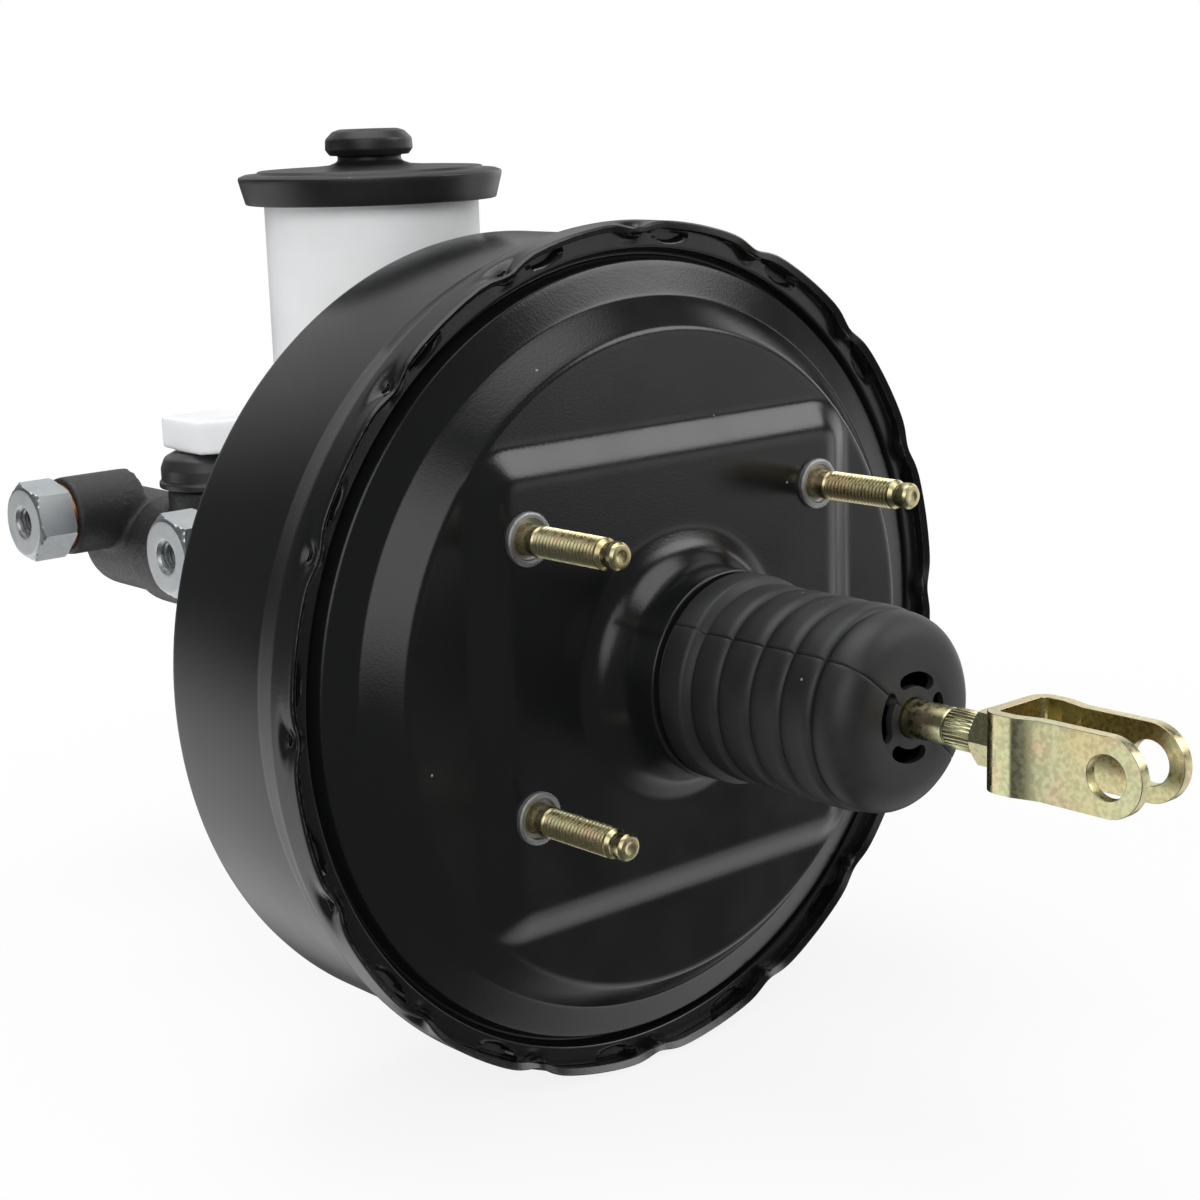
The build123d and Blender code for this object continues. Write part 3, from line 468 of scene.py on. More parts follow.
# ---- shader helpers ---------------------------------------------------------------------------
class Graph:
    """A node tree with short calls for adding and joining nodes."""

    def __init__(self, tree):
        self.tree = tree

    def add(self, kind, **settings):
        node = self.tree.nodes.new(kind)
        for key, value in settings.items():
            if key in node.inputs.keys() and not hasattr(type(node), key):
                self.feed(node.inputs[key], value)
            else:
                setattr(node, key, value)
        return node

    def feed(self, socket, value):
        if isinstance(value, bpy.types.NodeSocket):
            self.tree.links.new(value, socket)
        else:
            socket.default_value = value

    def put(self, node, **values):
        for key, value in values.items():
            self.feed(node.inputs[key.replace("_", " ")], value)
        return node

    def math(self, operation, *values, clamp=False):
        node = self.tree.nodes.new("ShaderNodeMath")
        node.operation = operation
        node.use_clamp = clamp
        for socket, value in zip(node.inputs, values):
            self.feed(socket, value)
        return node.outputs[0]

    def ramp(self, value, low, high, start=0.0, end=1.0):
        node = self.tree.nodes.new("ShaderNodeMapRange")
        node.interpolation_type = "SMOOTHSTEP"
        for name, number in (("Value", value), ("From Min", low), ("From Max", high),
                             ("To Min", start), ("To Max", end)):
            self.feed(node.inputs[name], number)
        return node.outputs[0]

    def mix(self, factor, first, second):
        node = self.tree.nodes.new("ShaderNodeMix")
        node.data_type = "RGBA"
        self.feed(node.inputs[0], factor)
        self.feed(node.inputs[6], first)
        self.feed(node.inputs[7], second)
        return node.outputs[2]

    def noise(self, where, scale, detail=3.0, rough=0.55, kind="FBM"):
        node = self.tree.nodes.new("ShaderNodeTexNoise")
        node.noise_type = kind
        self.feed(node.inputs["Vector"], where)
        node.inputs["Scale"].default_value = scale
        node.inputs["Detail"].default_value = detail
        node.inputs["Roughness"].default_value = rough
        return node.outputs["Fac"]


def shader_group(name, inputs, outputs):
    """New shader node group; inputs and outputs are (name, type, default)."""
    tree = bpy.data.node_groups.new(name, "ShaderNodeTree")
    for label, kind, default in inputs:
        socket = tree.interface.new_socket(name=label, in_out="INPUT", socket_type=kind)
        if default is not None:
            socket.default_value = default
    for label, kind in outputs:
        tree.interface.new_socket(name=label, in_out="OUTPUT", socket_type=kind)
    graph = Graph(tree)
    return tree, graph, tree.nodes.new("NodeGroupInput"), tree.nodes.new("NodeGroupOutput")


FLOAT, COLOR, VECTOR = "NodeSocketFloat", "NodeSocketColor", "NodeSocketVector"


def build_wear_and_edge_highlight():
    """Mask of outside corners, broken up by noise: where a finish has rubbed thin, and on the casting where a
    painted highlight is laid along the edges.
    """
    tree, g, ins, outs = shader_group(
        "Worn edges and painted highlight", [("Width", FLOAT, 0.0006), ("Amount", FLOAT, 1.0), ("Breakup", FLOAT, 400.0)],
        [("Mask", FLOAT)])
    bevel = g.add("ShaderNodeBevel", samples=4)
    g.feed(bevel.inputs["Radius"], ins.outputs["Width"])
    here = g.add("ShaderNodeNewGeometry")
    dot = g.add("ShaderNodeVectorMath", operation="DOT_PRODUCT")
    g.feed(dot.inputs[0], bevel.outputs[0])
    g.feed(dot.inputs[1], here.outputs["Normal"])
    turn = g.math("SUBTRACT", 1.0, dot.outputs["Value"])
    where = g.add("ShaderNodeTexCoord").outputs["Object"]
    noise = g.tree.nodes.new("ShaderNodeTexNoise")
    g.feed(noise.inputs["Vector"], where)
    g.feed(noise.inputs["Scale"], ins.outputs["Breakup"])
    broken = g.ramp(noise.outputs["Fac"], 0.35, 0.6)
    edge = g.ramp(turn, 0.04, 0.22)
    g.feed(outs.inputs["Mask"], g.math("MULTIPLY", g.math("MULTIPLY", edge, broken),
                                       ins.outputs["Amount"], clamp=True))
    return tree


def build_dust():
    """Sparse pale specks that settled in a finish."""
    tree, g, ins, outs = shader_group(
        "Dust specks", [("Density", FLOAT, 330.0), ("Size", FLOAT, 0.09), ("Amount", FLOAT, 1.0)],
        [("Mask", FLOAT)])
    where = g.add("ShaderNodeTexCoord").outputs["Object"]
    cells = g.tree.nodes.new("ShaderNodeTexVoronoi")
    g.feed(cells.inputs["Vector"], where)
    g.feed(cells.inputs["Scale"], ins.outputs["Density"])
    spot = g.math("LESS_THAN", cells.outputs["Distance"], ins.outputs["Size"])
    rare = g.math("GREATER_THAN", g.tree.nodes.new("ShaderNodeSeparateColor").outputs[0], 0.93)
    split = rare.node.inputs[0].links[0].from_node
    g.feed(split.inputs[0], cells.outputs["Color"])
    g.feed(outs.inputs["Mask"], g.math("MULTIPLY", g.math("MULTIPLY", spot, rare), ins.outputs["Amount"]))
    return tree


def build_peel():
    """Height of sprayed paint: fine grain over a slow ripple."""
    tree, g, ins, outs = shader_group(
        "Paint peel", [("Grain", FLOAT, 1500.0), ("Ripple", FLOAT, 160.0), ("Ripple share", FLOAT, 0.5)],
        [("Height", FLOAT)])
    where = g.add("ShaderNodeTexCoord").outputs["Object"]
    fine, slow = (g.tree.nodes.new("ShaderNodeTexNoise") for _ in range(2))
    for noise, name in ((fine, "Grain"), (slow, "Ripple")):
        g.feed(noise.inputs["Vector"], where)
        g.feed(noise.inputs["Scale"], ins.outputs[name])
        noise.inputs["Detail"].default_value = 2.0
    share = g.math("MULTIPLY", slow.outputs["Fac"], ins.outputs["Ripple share"])
    g.feed(outs.inputs["Height"], g.math("ADD", fine.outputs["Fac"], share))
    return tree


def build_chromate():
    """Zinc with a passivation film: colour drifts between two tints, with a faint third in patches."""
    tree, g, ins, outs = shader_group(
        "Chromate film",
        [("Main", COLOR, (0.6, 0.5, 0.25, 1)), ("Second", COLOR, (0.5, 0.55, 0.35, 1)),
         ("Third", COLOR, (0.7, 0.45, 0.4, 1)), ("Scale", FLOAT, 60.0)],
        [("Color", COLOR), ("Roughness", FLOAT)])
    where = g.add("ShaderNodeTexCoord").outputs["Object"]
    patches, drift, fine = (g.tree.nodes.new("ShaderNodeTexNoise") for _ in range(3))
    for noise, factor in ((patches, 1.0), (drift, 1.7), (fine, 14.0)):
        g.feed(noise.inputs["Vector"], where)
        g.feed(noise.inputs["Scale"], g.math("MULTIPLY", ins.outputs["Scale"], factor))
    first = g.mix(g.ramp(patches.outputs["Fac"], 0.3, 0.72), ins.outputs["Main"], ins.outputs["Second"])
    both = g.mix(g.ramp(drift.outputs["Fac"], 0.5, 0.85), first, ins.outputs["Third"])
    g.feed(outs.inputs["Color"], both)
    g.feed(outs.inputs["Roughness"], g.ramp(fine.outputs["Fac"], 0.3, 0.7, 0.2, 0.36))
    return tree


def material(name):
    made = bpy.data.materials.new(name)
    made.use_nodes = True
    g = Graph(made.node_tree)
    shader = made.node_tree.nodes["Principled BSDF"]
    return made, g, shader


def call(g, group, **values):
    node = g.tree.nodes.new("ShaderNodeGroup")
    node.node_tree = group
    for key, value in values.items():
        g.feed(node.inputs[key.replace("_", " ")], value)
    return node.outputs


def bump(g, shader, height, strength, distance):
    node = g.add("ShaderNodeBump")
    g.feed(node.inputs["Height"], height)
    node.inputs["Strength"].default_value = strength
    node.inputs["Distance"].default_value = distance
    g.feed(shader.inputs["Normal"], node.outputs["Normal"])


def object_coordinates(g):
    return g.add("ShaderNodeTexCoord").outputs["Object"]


# ---- materials ---------------------------------------------------------------------------------
def rgba(value, factor=1.0):
    return tuple(min(1.0, c * factor) for c in value) + (1.0,)


def make_materials(colours):
    wear_and_highlight, dust = build_wear_and_edge_highlight(), build_dust()
    peel, film = build_peel(), build_chromate()
    made = {}

    m, g, s = material("black_paint")
    edge = call(g, wear_and_highlight, Width=0.0005, Amount=0.5, Breakup=500.0)["Mask"]
    specks = call(g, dust, Density=170.0, Size=0.06, Amount=0.7)["Mask"]
    base = g.mix(edge, rgba(colours.paint), (0.16, 0.16, 0.155, 1))
    g.feed(s.inputs["Base Color"], g.mix(specks, base, (0.3, 0.3, 0.28, 1)))
    cloud = g.noise(object_coordinates(g), 35.0)
    g.feed(s.inputs["Roughness"], g.math("ADD", g.ramp(cloud, 0.3, 0.7, 0.17, 0.25),
                                         g.math("MULTIPLY", specks, 0.4)))
    bump(g, s, call(g, peel, Grain=1500.0, Ripple=170.0, Ripple_share=0.5)["Height"], 0.10, 0.0003)
    s.inputs["Specular IOR Level"].default_value = 0.5
    made["black_paint"] = m

    m, g, s = material("cast_black")
    rough = g.noise(object_coordinates(g), 900.0, 5.0, 0.65)
    lumps = g.noise(object_coordinates(g), 260.0, 2.0)
    # On the casting this mask lays pale grey (0.2) on the outside corners: a painted highlight along its edges.
    edge = call(g, wear_and_highlight, Width=0.0008, Amount=0.3, Breakup=600.0)["Mask"]
    g.feed(s.inputs["Base Color"], g.mix(edge, rgba(colours.casting), (0.2, 0.2, 0.2, 1)))
    g.feed(s.inputs["Roughness"], g.ramp(rough, 0.3, 0.7, 0.30, 0.48))
    bump(g, s, g.math("ADD", rough, lumps), 0.55, 0.0006)
    made["cast_black"] = m

    def zinc(name, main, second, third, scale, worn_tint, rough=0.0, pits=0.05):
        m, g, s = material(name)
        film_out = call(g, film, Main=main, Second=second, Third=third, Scale=scale)
        edge = call(g, wear_and_highlight, Width=0.0005, Amount=0.8, Breakup=700.0)["Mask"]
        g.feed(s.inputs["Base Color"], g.mix(edge, film_out["Color"], worn_tint))
        g.feed(s.inputs["Roughness"], g.math("ADD", film_out["Roughness"], rough))
        s.inputs["Metallic"].default_value = 1.0
        bump(g, s, g.noise(object_coordinates(g), 900.0, 1.0), pits, 0.00012)
        return m

    made["yellow_zinc"] = zinc("yellow_zinc", rgba(colours.chromate), (0.60, 0.60, 0.36, 1),
                               (0.74, 0.52, 0.36, 1), 55.0, (0.86, 0.84, 0.74, 1), 0.0, 0.015)
    made["bright_zinc"] = zinc("bright_zinc", rgba(colours.zinc), (0.68, 0.70, 0.70, 1),
                               (0.52, 0.58, 0.62, 1), 70.0, (0.9, 0.9, 0.9, 1), 0.10, 0.03)
    made["dull_zinc"] = zinc("dull_zinc", (0.42, 0.43, 0.43, 1), (0.5, 0.5, 0.49, 1),
                             (0.38, 0.4, 0.42, 1), 200.0, (0.85, 0.85, 0.83, 1), 0.3)
    made["plain_steel"] = zinc("plain_steel", (0.48, 0.48, 0.47, 1), (0.55, 0.55, 0.54, 1),
                               (0.42, 0.42, 0.42, 1), 90.0, (0.8, 0.8, 0.8, 1), 0.08)
    made["spring_steel"] = zinc("spring_steel", (0.30, 0.30, 0.32, 1), (0.38, 0.38, 0.4, 1),
                                (0.26, 0.27, 0.3, 1), 120.0, (0.7, 0.7, 0.7, 1), 0.06)
    made["copper"] = zinc("copper", (0.62, 0.27, 0.12, 1), (0.5, 0.2, 0.09, 1),
                          (0.7, 0.4, 0.2, 1), 150.0, (0.85, 0.5, 0.32, 1), 0.12)
    made["piston_alloy"] = zinc("piston_alloy", (0.58, 0.59, 0.6, 1), (0.62, 0.62, 0.62, 1),
                                (0.54, 0.56, 0.58, 1), 90.0, (0.85, 0.85, 0.85, 1), 0.06)

    def moulded(name, color, low, high, grain, strength, spots=0.0, sheen=0.0, scale=40.0):
        m, g, s = material(name)
        cloud = g.noise(object_coordinates(g), scale, 4.0)
        specks = call(g, dust, Density=260.0, Size=0.08, Amount=spots)["Mask"]
        paler = tuple(min(1.0, c * 1.5 + 0.004) for c in color[:3]) + (1,)
        base = g.mix(g.ramp(cloud, 0.35, 0.75), color, paler)
        g.feed(s.inputs["Base Color"], g.mix(specks, base, (0.4, 0.4, 0.38, 1)))
        g.feed(s.inputs["Roughness"], g.ramp(cloud, 0.3, 0.7, low, high))
        s.inputs["Sheen Weight"].default_value = sheen
        bump(g, s, g.noise(object_coordinates(g), grain, 3.0), strength, 0.0003)
        return m

    made["boot_rubber"] = moulded("boot_rubber", rgba(colours.rubber), 0.42, 0.56, 1500.0, 0.12, 0.5)
    made["seal_rubber"] = moulded("seal_rubber", (0.020, 0.020, 0.021, 1), 0.28, 0.40, 1200.0, 0.15, 0.3)
    made["phenolic"] = moulded("phenolic", (0.05, 0.04, 0.03, 1), 0.35, 0.5, 700.0, 0.2)
    made["bearing_plastic"] = moulded("bearing_plastic", (0.02, 0.02, 0.021, 1), 0.35, 0.45, 900.0, 0.1)
    made["cap_plastic"] = moulded("cap_plastic", (0.009, 0.0092, 0.0100, 1), 0.34, 0.46, 1800.0, 0.2, 0.5)
    made["felt"] = moulded("felt", (0.30, 0.29, 0.27, 1), 0.9, 1.0, 2500.0, 0.9, 0.0, 0.3)

    m, g, s = material("nylon")
    cloud = g.noise(object_coordinates(g), 30.0)
    g.feed(s.inputs["Base Color"], g.mix(g.ramp(cloud, 0.3, 0.7), rgba(colours.tank, 0.96),
                                         rgba(colours.tank, 1.03)))
    g.feed(s.inputs["Roughness"], g.ramp(cloud, 0.3, 0.7, 0.34, 0.44))
    s.inputs["Subsurface Weight"].default_value = 0.35
    s.inputs["Subsurface Radius"].default_value = (0.004, 0.004, 0.0045)
    s.inputs["Subsurface Scale"].default_value = 1.0
    bump(g, s, g.noise(object_coordinates(g), 500.0), 0.08, 0.0003)
    made["nylon"] = m
    return made


materials = {}


def dress(name, finish):
    """Give a CAD node one of the finishes; its mesh stays as it is."""
    mesh = nodes[name].data
    mesh.materials.clear()
    mesh.materials.append(materials[finish])


# ---- shells ------------------------------------------------------------------------------------
def lance_angle(a):
    """Signed angle from a to the nearest lance."""
    step = 2 * math.pi / LANCES
    return (a + step / 2) % step - step / 2


def lance_stations():
    """Angles round the rim, close together at each lance."""
    near = (0.0, 0.25, 0.5, 0.75, 1.0, 1.35, 1.7, 2.1, 2.6, 3.2, 3.9, 4.8)
    side = list(near) + [5.9, 7.1, 8.3, 9.7]
    steps = [-d for d in reversed(side[1:])] + side
    return [math.radians(360.0 / LANCES * k + d) for k in range(LANCES) for d in steps + [11.25]]


class BOOSTER_OT_front_shell(bpy.types.Operator):
    """Front shell: drawn drum with its rim lanced over the rear shell"""
    bl_idname = "booster.front_shell"
    bl_label = "Front shell"

    def execute(self, context):
        sizes = context.scene.booster_sizes
        deep = sizes.lance_depth / MM
        path = fillet([(24.4, 90.5), (63.0, 90.5, 6.0), (69.0, 86.0, 6.0), (113.3, 74.6, 3.2),
                       (113.3, 33.0, 5.0), (117.2, 22.6, 1.2), (117.4, 21.4, 0.6), (117.4, 20.4)], 3.0)
        path += [(117.4, 12.8 + t) for t in (6.8, 6.0, 5.3, 4.7, 4.3, 3.9, 3.3, 2.8, 2.2, 1.6, 1.0, 0.5, 0.0)]

        def pressed(row, r, y, a):
            t, d = y - 12.8, abs(lance_angle(a)) * 117.4
            if t > 10.0:
                return r, y, a
            push = 0.52 * deep * math.exp(-(d / 5.6) ** 2) * min(1.0, math.exp(-((t - 2.6) / 2.4) ** 3)
                                                                 if t > 2.6 else 1.0)
            push += 0.45 * deep * math.exp(-(d / 2.1) ** 2) * math.exp(-((t - 2.6) / 1.3) ** 2)
            roll = 0.5 * max(0.0, 1.0 - t / 0.8) ** 2
            return r - push - roll, y, a

        def torn(row, y, a):
            return 3.3 < y - 12.8 < 3.9 and abs(lance_angle(a)) * 117.4 < 1.7

        mesh = turned_mesh("front_shell_drawn", path, lance_stations(), pressed, torn)
        new_piece("front_shell_drawn", thicken(mesh, sizes.sheet / MM), "black_paint", "housing",
                  ("front_shell",), 40.0)
        return {"FINISHED"}


class BOOSTER_OT_rear_shell(bpy.types.Operator):
    """Rear shell: stepped cone, soft pressed plateau, flared neck and pocketed flange"""
    bl_idname = "booster.rear_shell"
    bl_label = "Rear shell"

    def execute(self, context):
        sizes = context.scene.booster_sizes
        blend = sizes.plateau_blend / MM
        half_x, half_z, foot_x, foot_z = PLATEAU
        corner, cone_foot, rim_drop = 5.0, 97.9, 4.0
        outer = divide([(115.2, 16.6), (111.4, 16.6)], 0.65)
        outer += fillet([(111.4, 16.6), (110.2, 16.6, 0.7), (109.3, 20.0, 0.5), (108.2, 20.2, 0.5),
                         (107.2, 15.3, 1.3), (97.9, 12.5, 2.2), (89.6, 4.0, 2.6), (84.0, 4.0)], 1.0, 5)[1:]
        neck = fillet([(42.0, 0.0), (37.0, 0.0, 7.0), (31.5, -1.8, 7.0), (28.0, -8.5, 9.0), (28.0, -18.0, 0.7),
                       (25.7, -18.0, 0.5), (25.7, -27.0)], 3.0, 5)
        path = divide(outer, 1.5) + divide([(84.0, 4.0), (42.0, 0.0)], 1.25)[1:] + divide(neck, 2.5)[1:]

        def formed(row, r, y, a):
            if 41.9 < r < 108.0 and y < 15.0:
                x, z = r * math.cos(a), r * math.sin(a)
                out_x, out_z = abs(x) - half_x + corner, abs(z) - half_z + corner
                across, up = max(out_x, 0.0), max(out_z, 0.0)
                away = math.hypot(across, up) - corner + min(max(out_x, out_z), 0.0)
                share = across ** 2 / (across ** 2 + up ** 2 + 1e-9)
                run = share * (foot_x - half_x) + (1 - share) * (foot_z - half_z)
                top = smooth_max(0.0, away / run * 4.0, 1.3)
                top += 5.0 * max(0.0, top - 4.4)
                base = max(y, rim_drop) if r < cone_foot else y
                y = smooth_min(base, top, blend)
                y = max(y, 0.0)
            if r > 111.0:
                off = lance_angle(a + math.radians(7.0))
                arc = off * 114.0 / 6.6
                floor = 115.4 - 3.6 * math.sqrt(max(0.0, 1.0 - arc * arc)) if abs(arc) < 1 else 200.0
                if r > floor:
                    y += 2.6 * min(1.0, (r - floor) / 0.6)
                d = math.hypot(lance_angle(a) * 112.8, r - 112.6)
                y += 0.5 * math.exp(-(d / 1.6) ** 2)
            return r, y, a

        mesh = turned_mesh("rear_shell_pressed", path, even_angles(368), formed)
        new_piece("rear_shell_pressed", thicken(mesh, sizes.sheet / MM), "black_paint", "housing",
                  ("rear_shell",), 50.0)
        return {"FINISHED"}


# ---- studs -------------------------------------------------------------------------------------
class BOOSTER_OT_studs(bpy.types.Operator):
    """Four firewall studs with a cut thread, and their serrated collars"""
    bl_idname = "booster.studs"
    bl_label = "Firewall studs"

    def execute(self, context):
        sizes = context.scene.booster_sizes
        pitch, depth = sizes.thread_pitch / MM, sizes.thread_depth / MM
        root, turns = 4.0 - depth, 18
        end = -6.4 - turns * pitch
        core = fillet([(0.0, 7.4), (8.4, 7.4, 0.6), (8.4, 4.6, 0.3), (5.7, 4.6), (5.7, 0.35), (4.0, 0.3),
                       (4.0, -6.0, 0.3), (root, -6.6), (root, end), (4.0, end - 0.35, 0.15),
                       (4.0, end - 0.9, 0.2), (3.1, end - 1.9, 0.3), (3.1, end - 2.9, 0.3),
                       (3.55, end - 3.5, 0.25), (3.55, -34.6, 0.3), (2.9, -35.45, 0.2), (1.7, -35.45, 0.2),
                       (0.0, -34.9)], 0.2, 2)
        mesh = turned_mesh("stud_core", core, even_angles(40), centre=(0, 0, 0))
        close_poles(mesh)
        tree = stud_tree()
        studs = run_tree("firewall_studs", mesh, tree, Thread_radius=root * MM, Pitch=pitch * MM,
                         Depth=depth * MM, Turns=float(turns), Start=-0.0064, Spacing_X=0.1052,
                         Spacing_Z=0.073, Finish=materials["yellow_zinc"])
        new_piece("firewall_studs", studs, "yellow_zinc", "housing", ("mounting_studs",), 30.0)
        path = fillet([(6.9, 0.1), (6.9, -1.1, 0.15), (6.4, -1.5, 0.15), (5.5, -1.5, 0.15), (5.2, -0.55, 0.2),
                       (4.1, -0.35, 0.1), (4.05, 0.2)], 0.2, 2)
        ring = turned_mesh("collar_ring", path, even_angles(48), centre=(0, 0, 0))
        collars = run_tree("stud_collars", ring, collar_tree(), Teeth=sizes.collar_teeth, Edge_radius=0.00675,
                           Tooth=0.00048, Height=0.00125, Spacing_X=0.1052, Spacing_Z=0.073,
                           Finish=materials["dull_zinc"])
        new_piece("stud_collars", collars, "dull_zinc", "housing", (), 30.0)
        return {"FINISHED"}


# ---- boot --------------------------------------------------------------------------------------
class BOOSTER_OT_boot(bpy.types.Operator):
    """Dust boot with swelling folds, four curved vents and a mould parting line"""
    bl_idname = "booster.boot"
    bl_label = "Dust boot"

    def execute(self, context):
        sizes = context.scene.booster_sizes
        rise = sizes.fold_rise / MM
        notches = (-29.2, -38.9, -50.0, -60.3, -70.2)
        path = [(26.0, -19.4), (27.2, -19.6), (27.5, -20.2), (27.5, -26.6), (27.3, -27.3), (26.6, -27.7),
                (26.0, -28.1), (25.4, -28.6), (24.7, -29.2)]
        for top, low in zip(notches, notches[1:]):
            tall = top - low
            for s in (0.02, 0.06, 0.14, 0.28, 0.42, 0.56, 0.7, 0.82, 0.9, 0.95, 0.98):
                swell = 1.0 - abs(2 * s - 1) ** 6
                lip = 0.28 * math.exp(-((s - 0.05) / 0.05) ** 2)
                path.append((24.5 + rise * swell + lip, top - tall * s))
            path.append((23.9, low))
        dome = [(24.75, -70.6), (25.1, -71.2), (25.3, -72.2), (25.2, -73.6)]
        for k in range(1, 11):
            a = math.radians(90.0 * k / 10)
            dome.append((15.6 + 9.5 * math.cos(a) ** 0.9, -73.6 - 7.3 * math.sin(a)))
        path += dome
        vent, half_wide = 9.6, 1.8
        dome_face = -78.5
        path += [(14.0, -81.0), (12.4, -80.95)]
        path += [(vent + half_wide * math.cos(math.radians(b)), -80.9)
                 for b in (0, 25, 50, 75, 90, 105, 130, 155, 180)]
        path += [(7.2, -80.9), (6.4, -80.95), (5.6, -81.0), (5.1, -80.9), (4.85, -80.4)]
        inside, outside, half_arc = 14, 16, 27.0
        turn = -10.0
        seams = [math.radians(140.0), math.radians(-40.0)]
        seam_depth, seam_width = 0.4, 0.22

        def spread(r):
            """Half the arc that the vent's columns cover at this radius, in degrees."""
            off = abs(r - vent)
            if off < half_wide:
                return half_arc + math.degrees(math.sqrt(half_wide ** 2 - off ** 2) / vent)
            return half_arc

        columns = []
        for q in range(4):
            columns += [(q, k / inside, True) for k in range(inside)]
            columns += [(q, k / outside, False) for k in range(outside)]
        for seam in seams:
            turned = (math.degrees(seam) - turn + half_arc) % 360.0
            q, rest = int(turned // 90.0), turned % 90.0
            for off in (-1.1, -0.45, 0.0, 0.45, 1.1):
                at = rest + off
                if at < 2 * half_arc:
                    columns.append((q, at / (2 * half_arc), True))
                else:
                    columns.append((q, (at - 2 * half_arc) / (90.0 - 2 * half_arc), False))
        columns.sort(key=lambda c: (c[0], not c[2], c[1]))
        wide = len(columns)

        def place(index, r):
            q, s, within = columns[index]
            half = spread(r)
            if within:
                return math.radians(90.0 * q + turn - half + 2 * half * s)
            return math.radians(90.0 * q + turn + half + (90.0 - 2 * half) * s)

        points, faces = [], []
        for r, y in path:
            for j in range(wide):
                a = place(j, r)
                cut = 0.0
                for seam in seams:
                    off = (a - seam + math.pi) % (2 * math.pi) - math.pi
                    cut = max(cut, math.exp(-(off * r / seam_width) ** 2))
                rr, yy = (r - seam_depth * cut, y) if y > dome_face else (r, y + seam_depth * cut)
                if r < 6.0:
                    rr, yy = r, y
                points.append((rr * math.cos(a) * MM, yy * MM, (rr * math.sin(a) + AXIS_Z) * MM))
        for row in range(len(path) - 1):
            middle = (path[row][0] + path[row + 1][0]) / 2
            for j in range(wide):
                if columns[j][2] and abs(middle - vent) < half_wide and path[row][1] < -80.0:
                    continue
                n = (j + 1) % wide
                faces.append((row * wide + j, row * wide + n, (row + 1) * wide + n, (row + 1) * wide + j))
        mesh = bpy.data.meshes.new("dust_boot_moulded")
        mesh.from_pydata(points, [], faces)
        whole = thicken(mesh, sizes.boot_wall / MM)
        boot = new_piece("dust_boot_moulded", whole, "boot_rubber", None, ("dust_boot",), 60.0)
        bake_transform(boot)
        return {"FINISHED"}


# ---- pedal rod and clevis ------------------------------------------------------------------------
class BOOSTER_OT_pedal_rod(bpy.types.Operator):
    """Pedal rod, lock nut and clevis with eased edges"""
    bl_idname = "booster.pedal_rod"
    bl_label = "Pedal rod"

    def execute(self, context):
        ball = [(4.94 * math.sin(math.radians(b)), 6.0 + 4.94 * math.cos(math.radians(b)))
                for b in range(0, 136, 9)]
        path = ball + fillet([(3.4, 2.4), (3.4, -10.0, 3.0), (4.75, -13.0, 3.0), (4.75, -43.0, 0.3),
                              (8.6, -43.0, 0.3), (8.6, -44.5, 0.3), (4.75, -44.5, 0.4), (4.75, -93.2, 0.2),
                              (4.55, -93.7, 0.2), (4.7, -94.0)], 0.3, 3)
        path += [(4.82, -94.3), (4.85, -98.0), (4.82, -101.7), (4.6, -102.1), (4.0, -103.0), (4.0, -116.6),
                 (3.2, -117.5), (0.0, -117.5)]

        def knurled(row, r, y, a):
            return (r + 0.2 * math.cos(30 * a), y, a) if -101.8 < y < -94.2 else (r, y, a)

        rod = turned_mesh("pedal_rod_turned", path, even_angles(240), knurled)
        close_poles(rod)
        new_piece("pedal_rod_turned", rod, "yellow_zinc", "pedal_rod", ("input_rod",), 40.0)
        for node, width in (("clevis", 0.45), ("lock_nut", 0.25)):
            new_piece(node + "_eased", eased_copy(node, width), "yellow_zinc", "pedal_rod",
                      (node,), 0)
        return {"FINISHED"}


# ---- master cylinder -----------------------------------------------------------------------------
class BOOSTER_OT_casting(bpy.types.Operator):
    """Cast body of the master cylinder, its edges rounded as sand casting leaves them"""
    bl_idname = "booster.casting"
    bl_label = "Casting"

    def execute(self, context):
        grain = context.scene.booster_sizes.cast_grain
        mesh = with_modifiers("casting", merged_copy("master_cylinder_body", 0), (
            "REMESH", {"mode": "VOXEL", "voxel_size": grain}), (
            "SMOOTH", {"factor": 0.5, "iterations": 6}))
        new_piece("master_cylinder_cast", mesh, "cast_black", "housing",
                  ("master_cylinder_body",), 50.0)
        return {"FINISHED"}


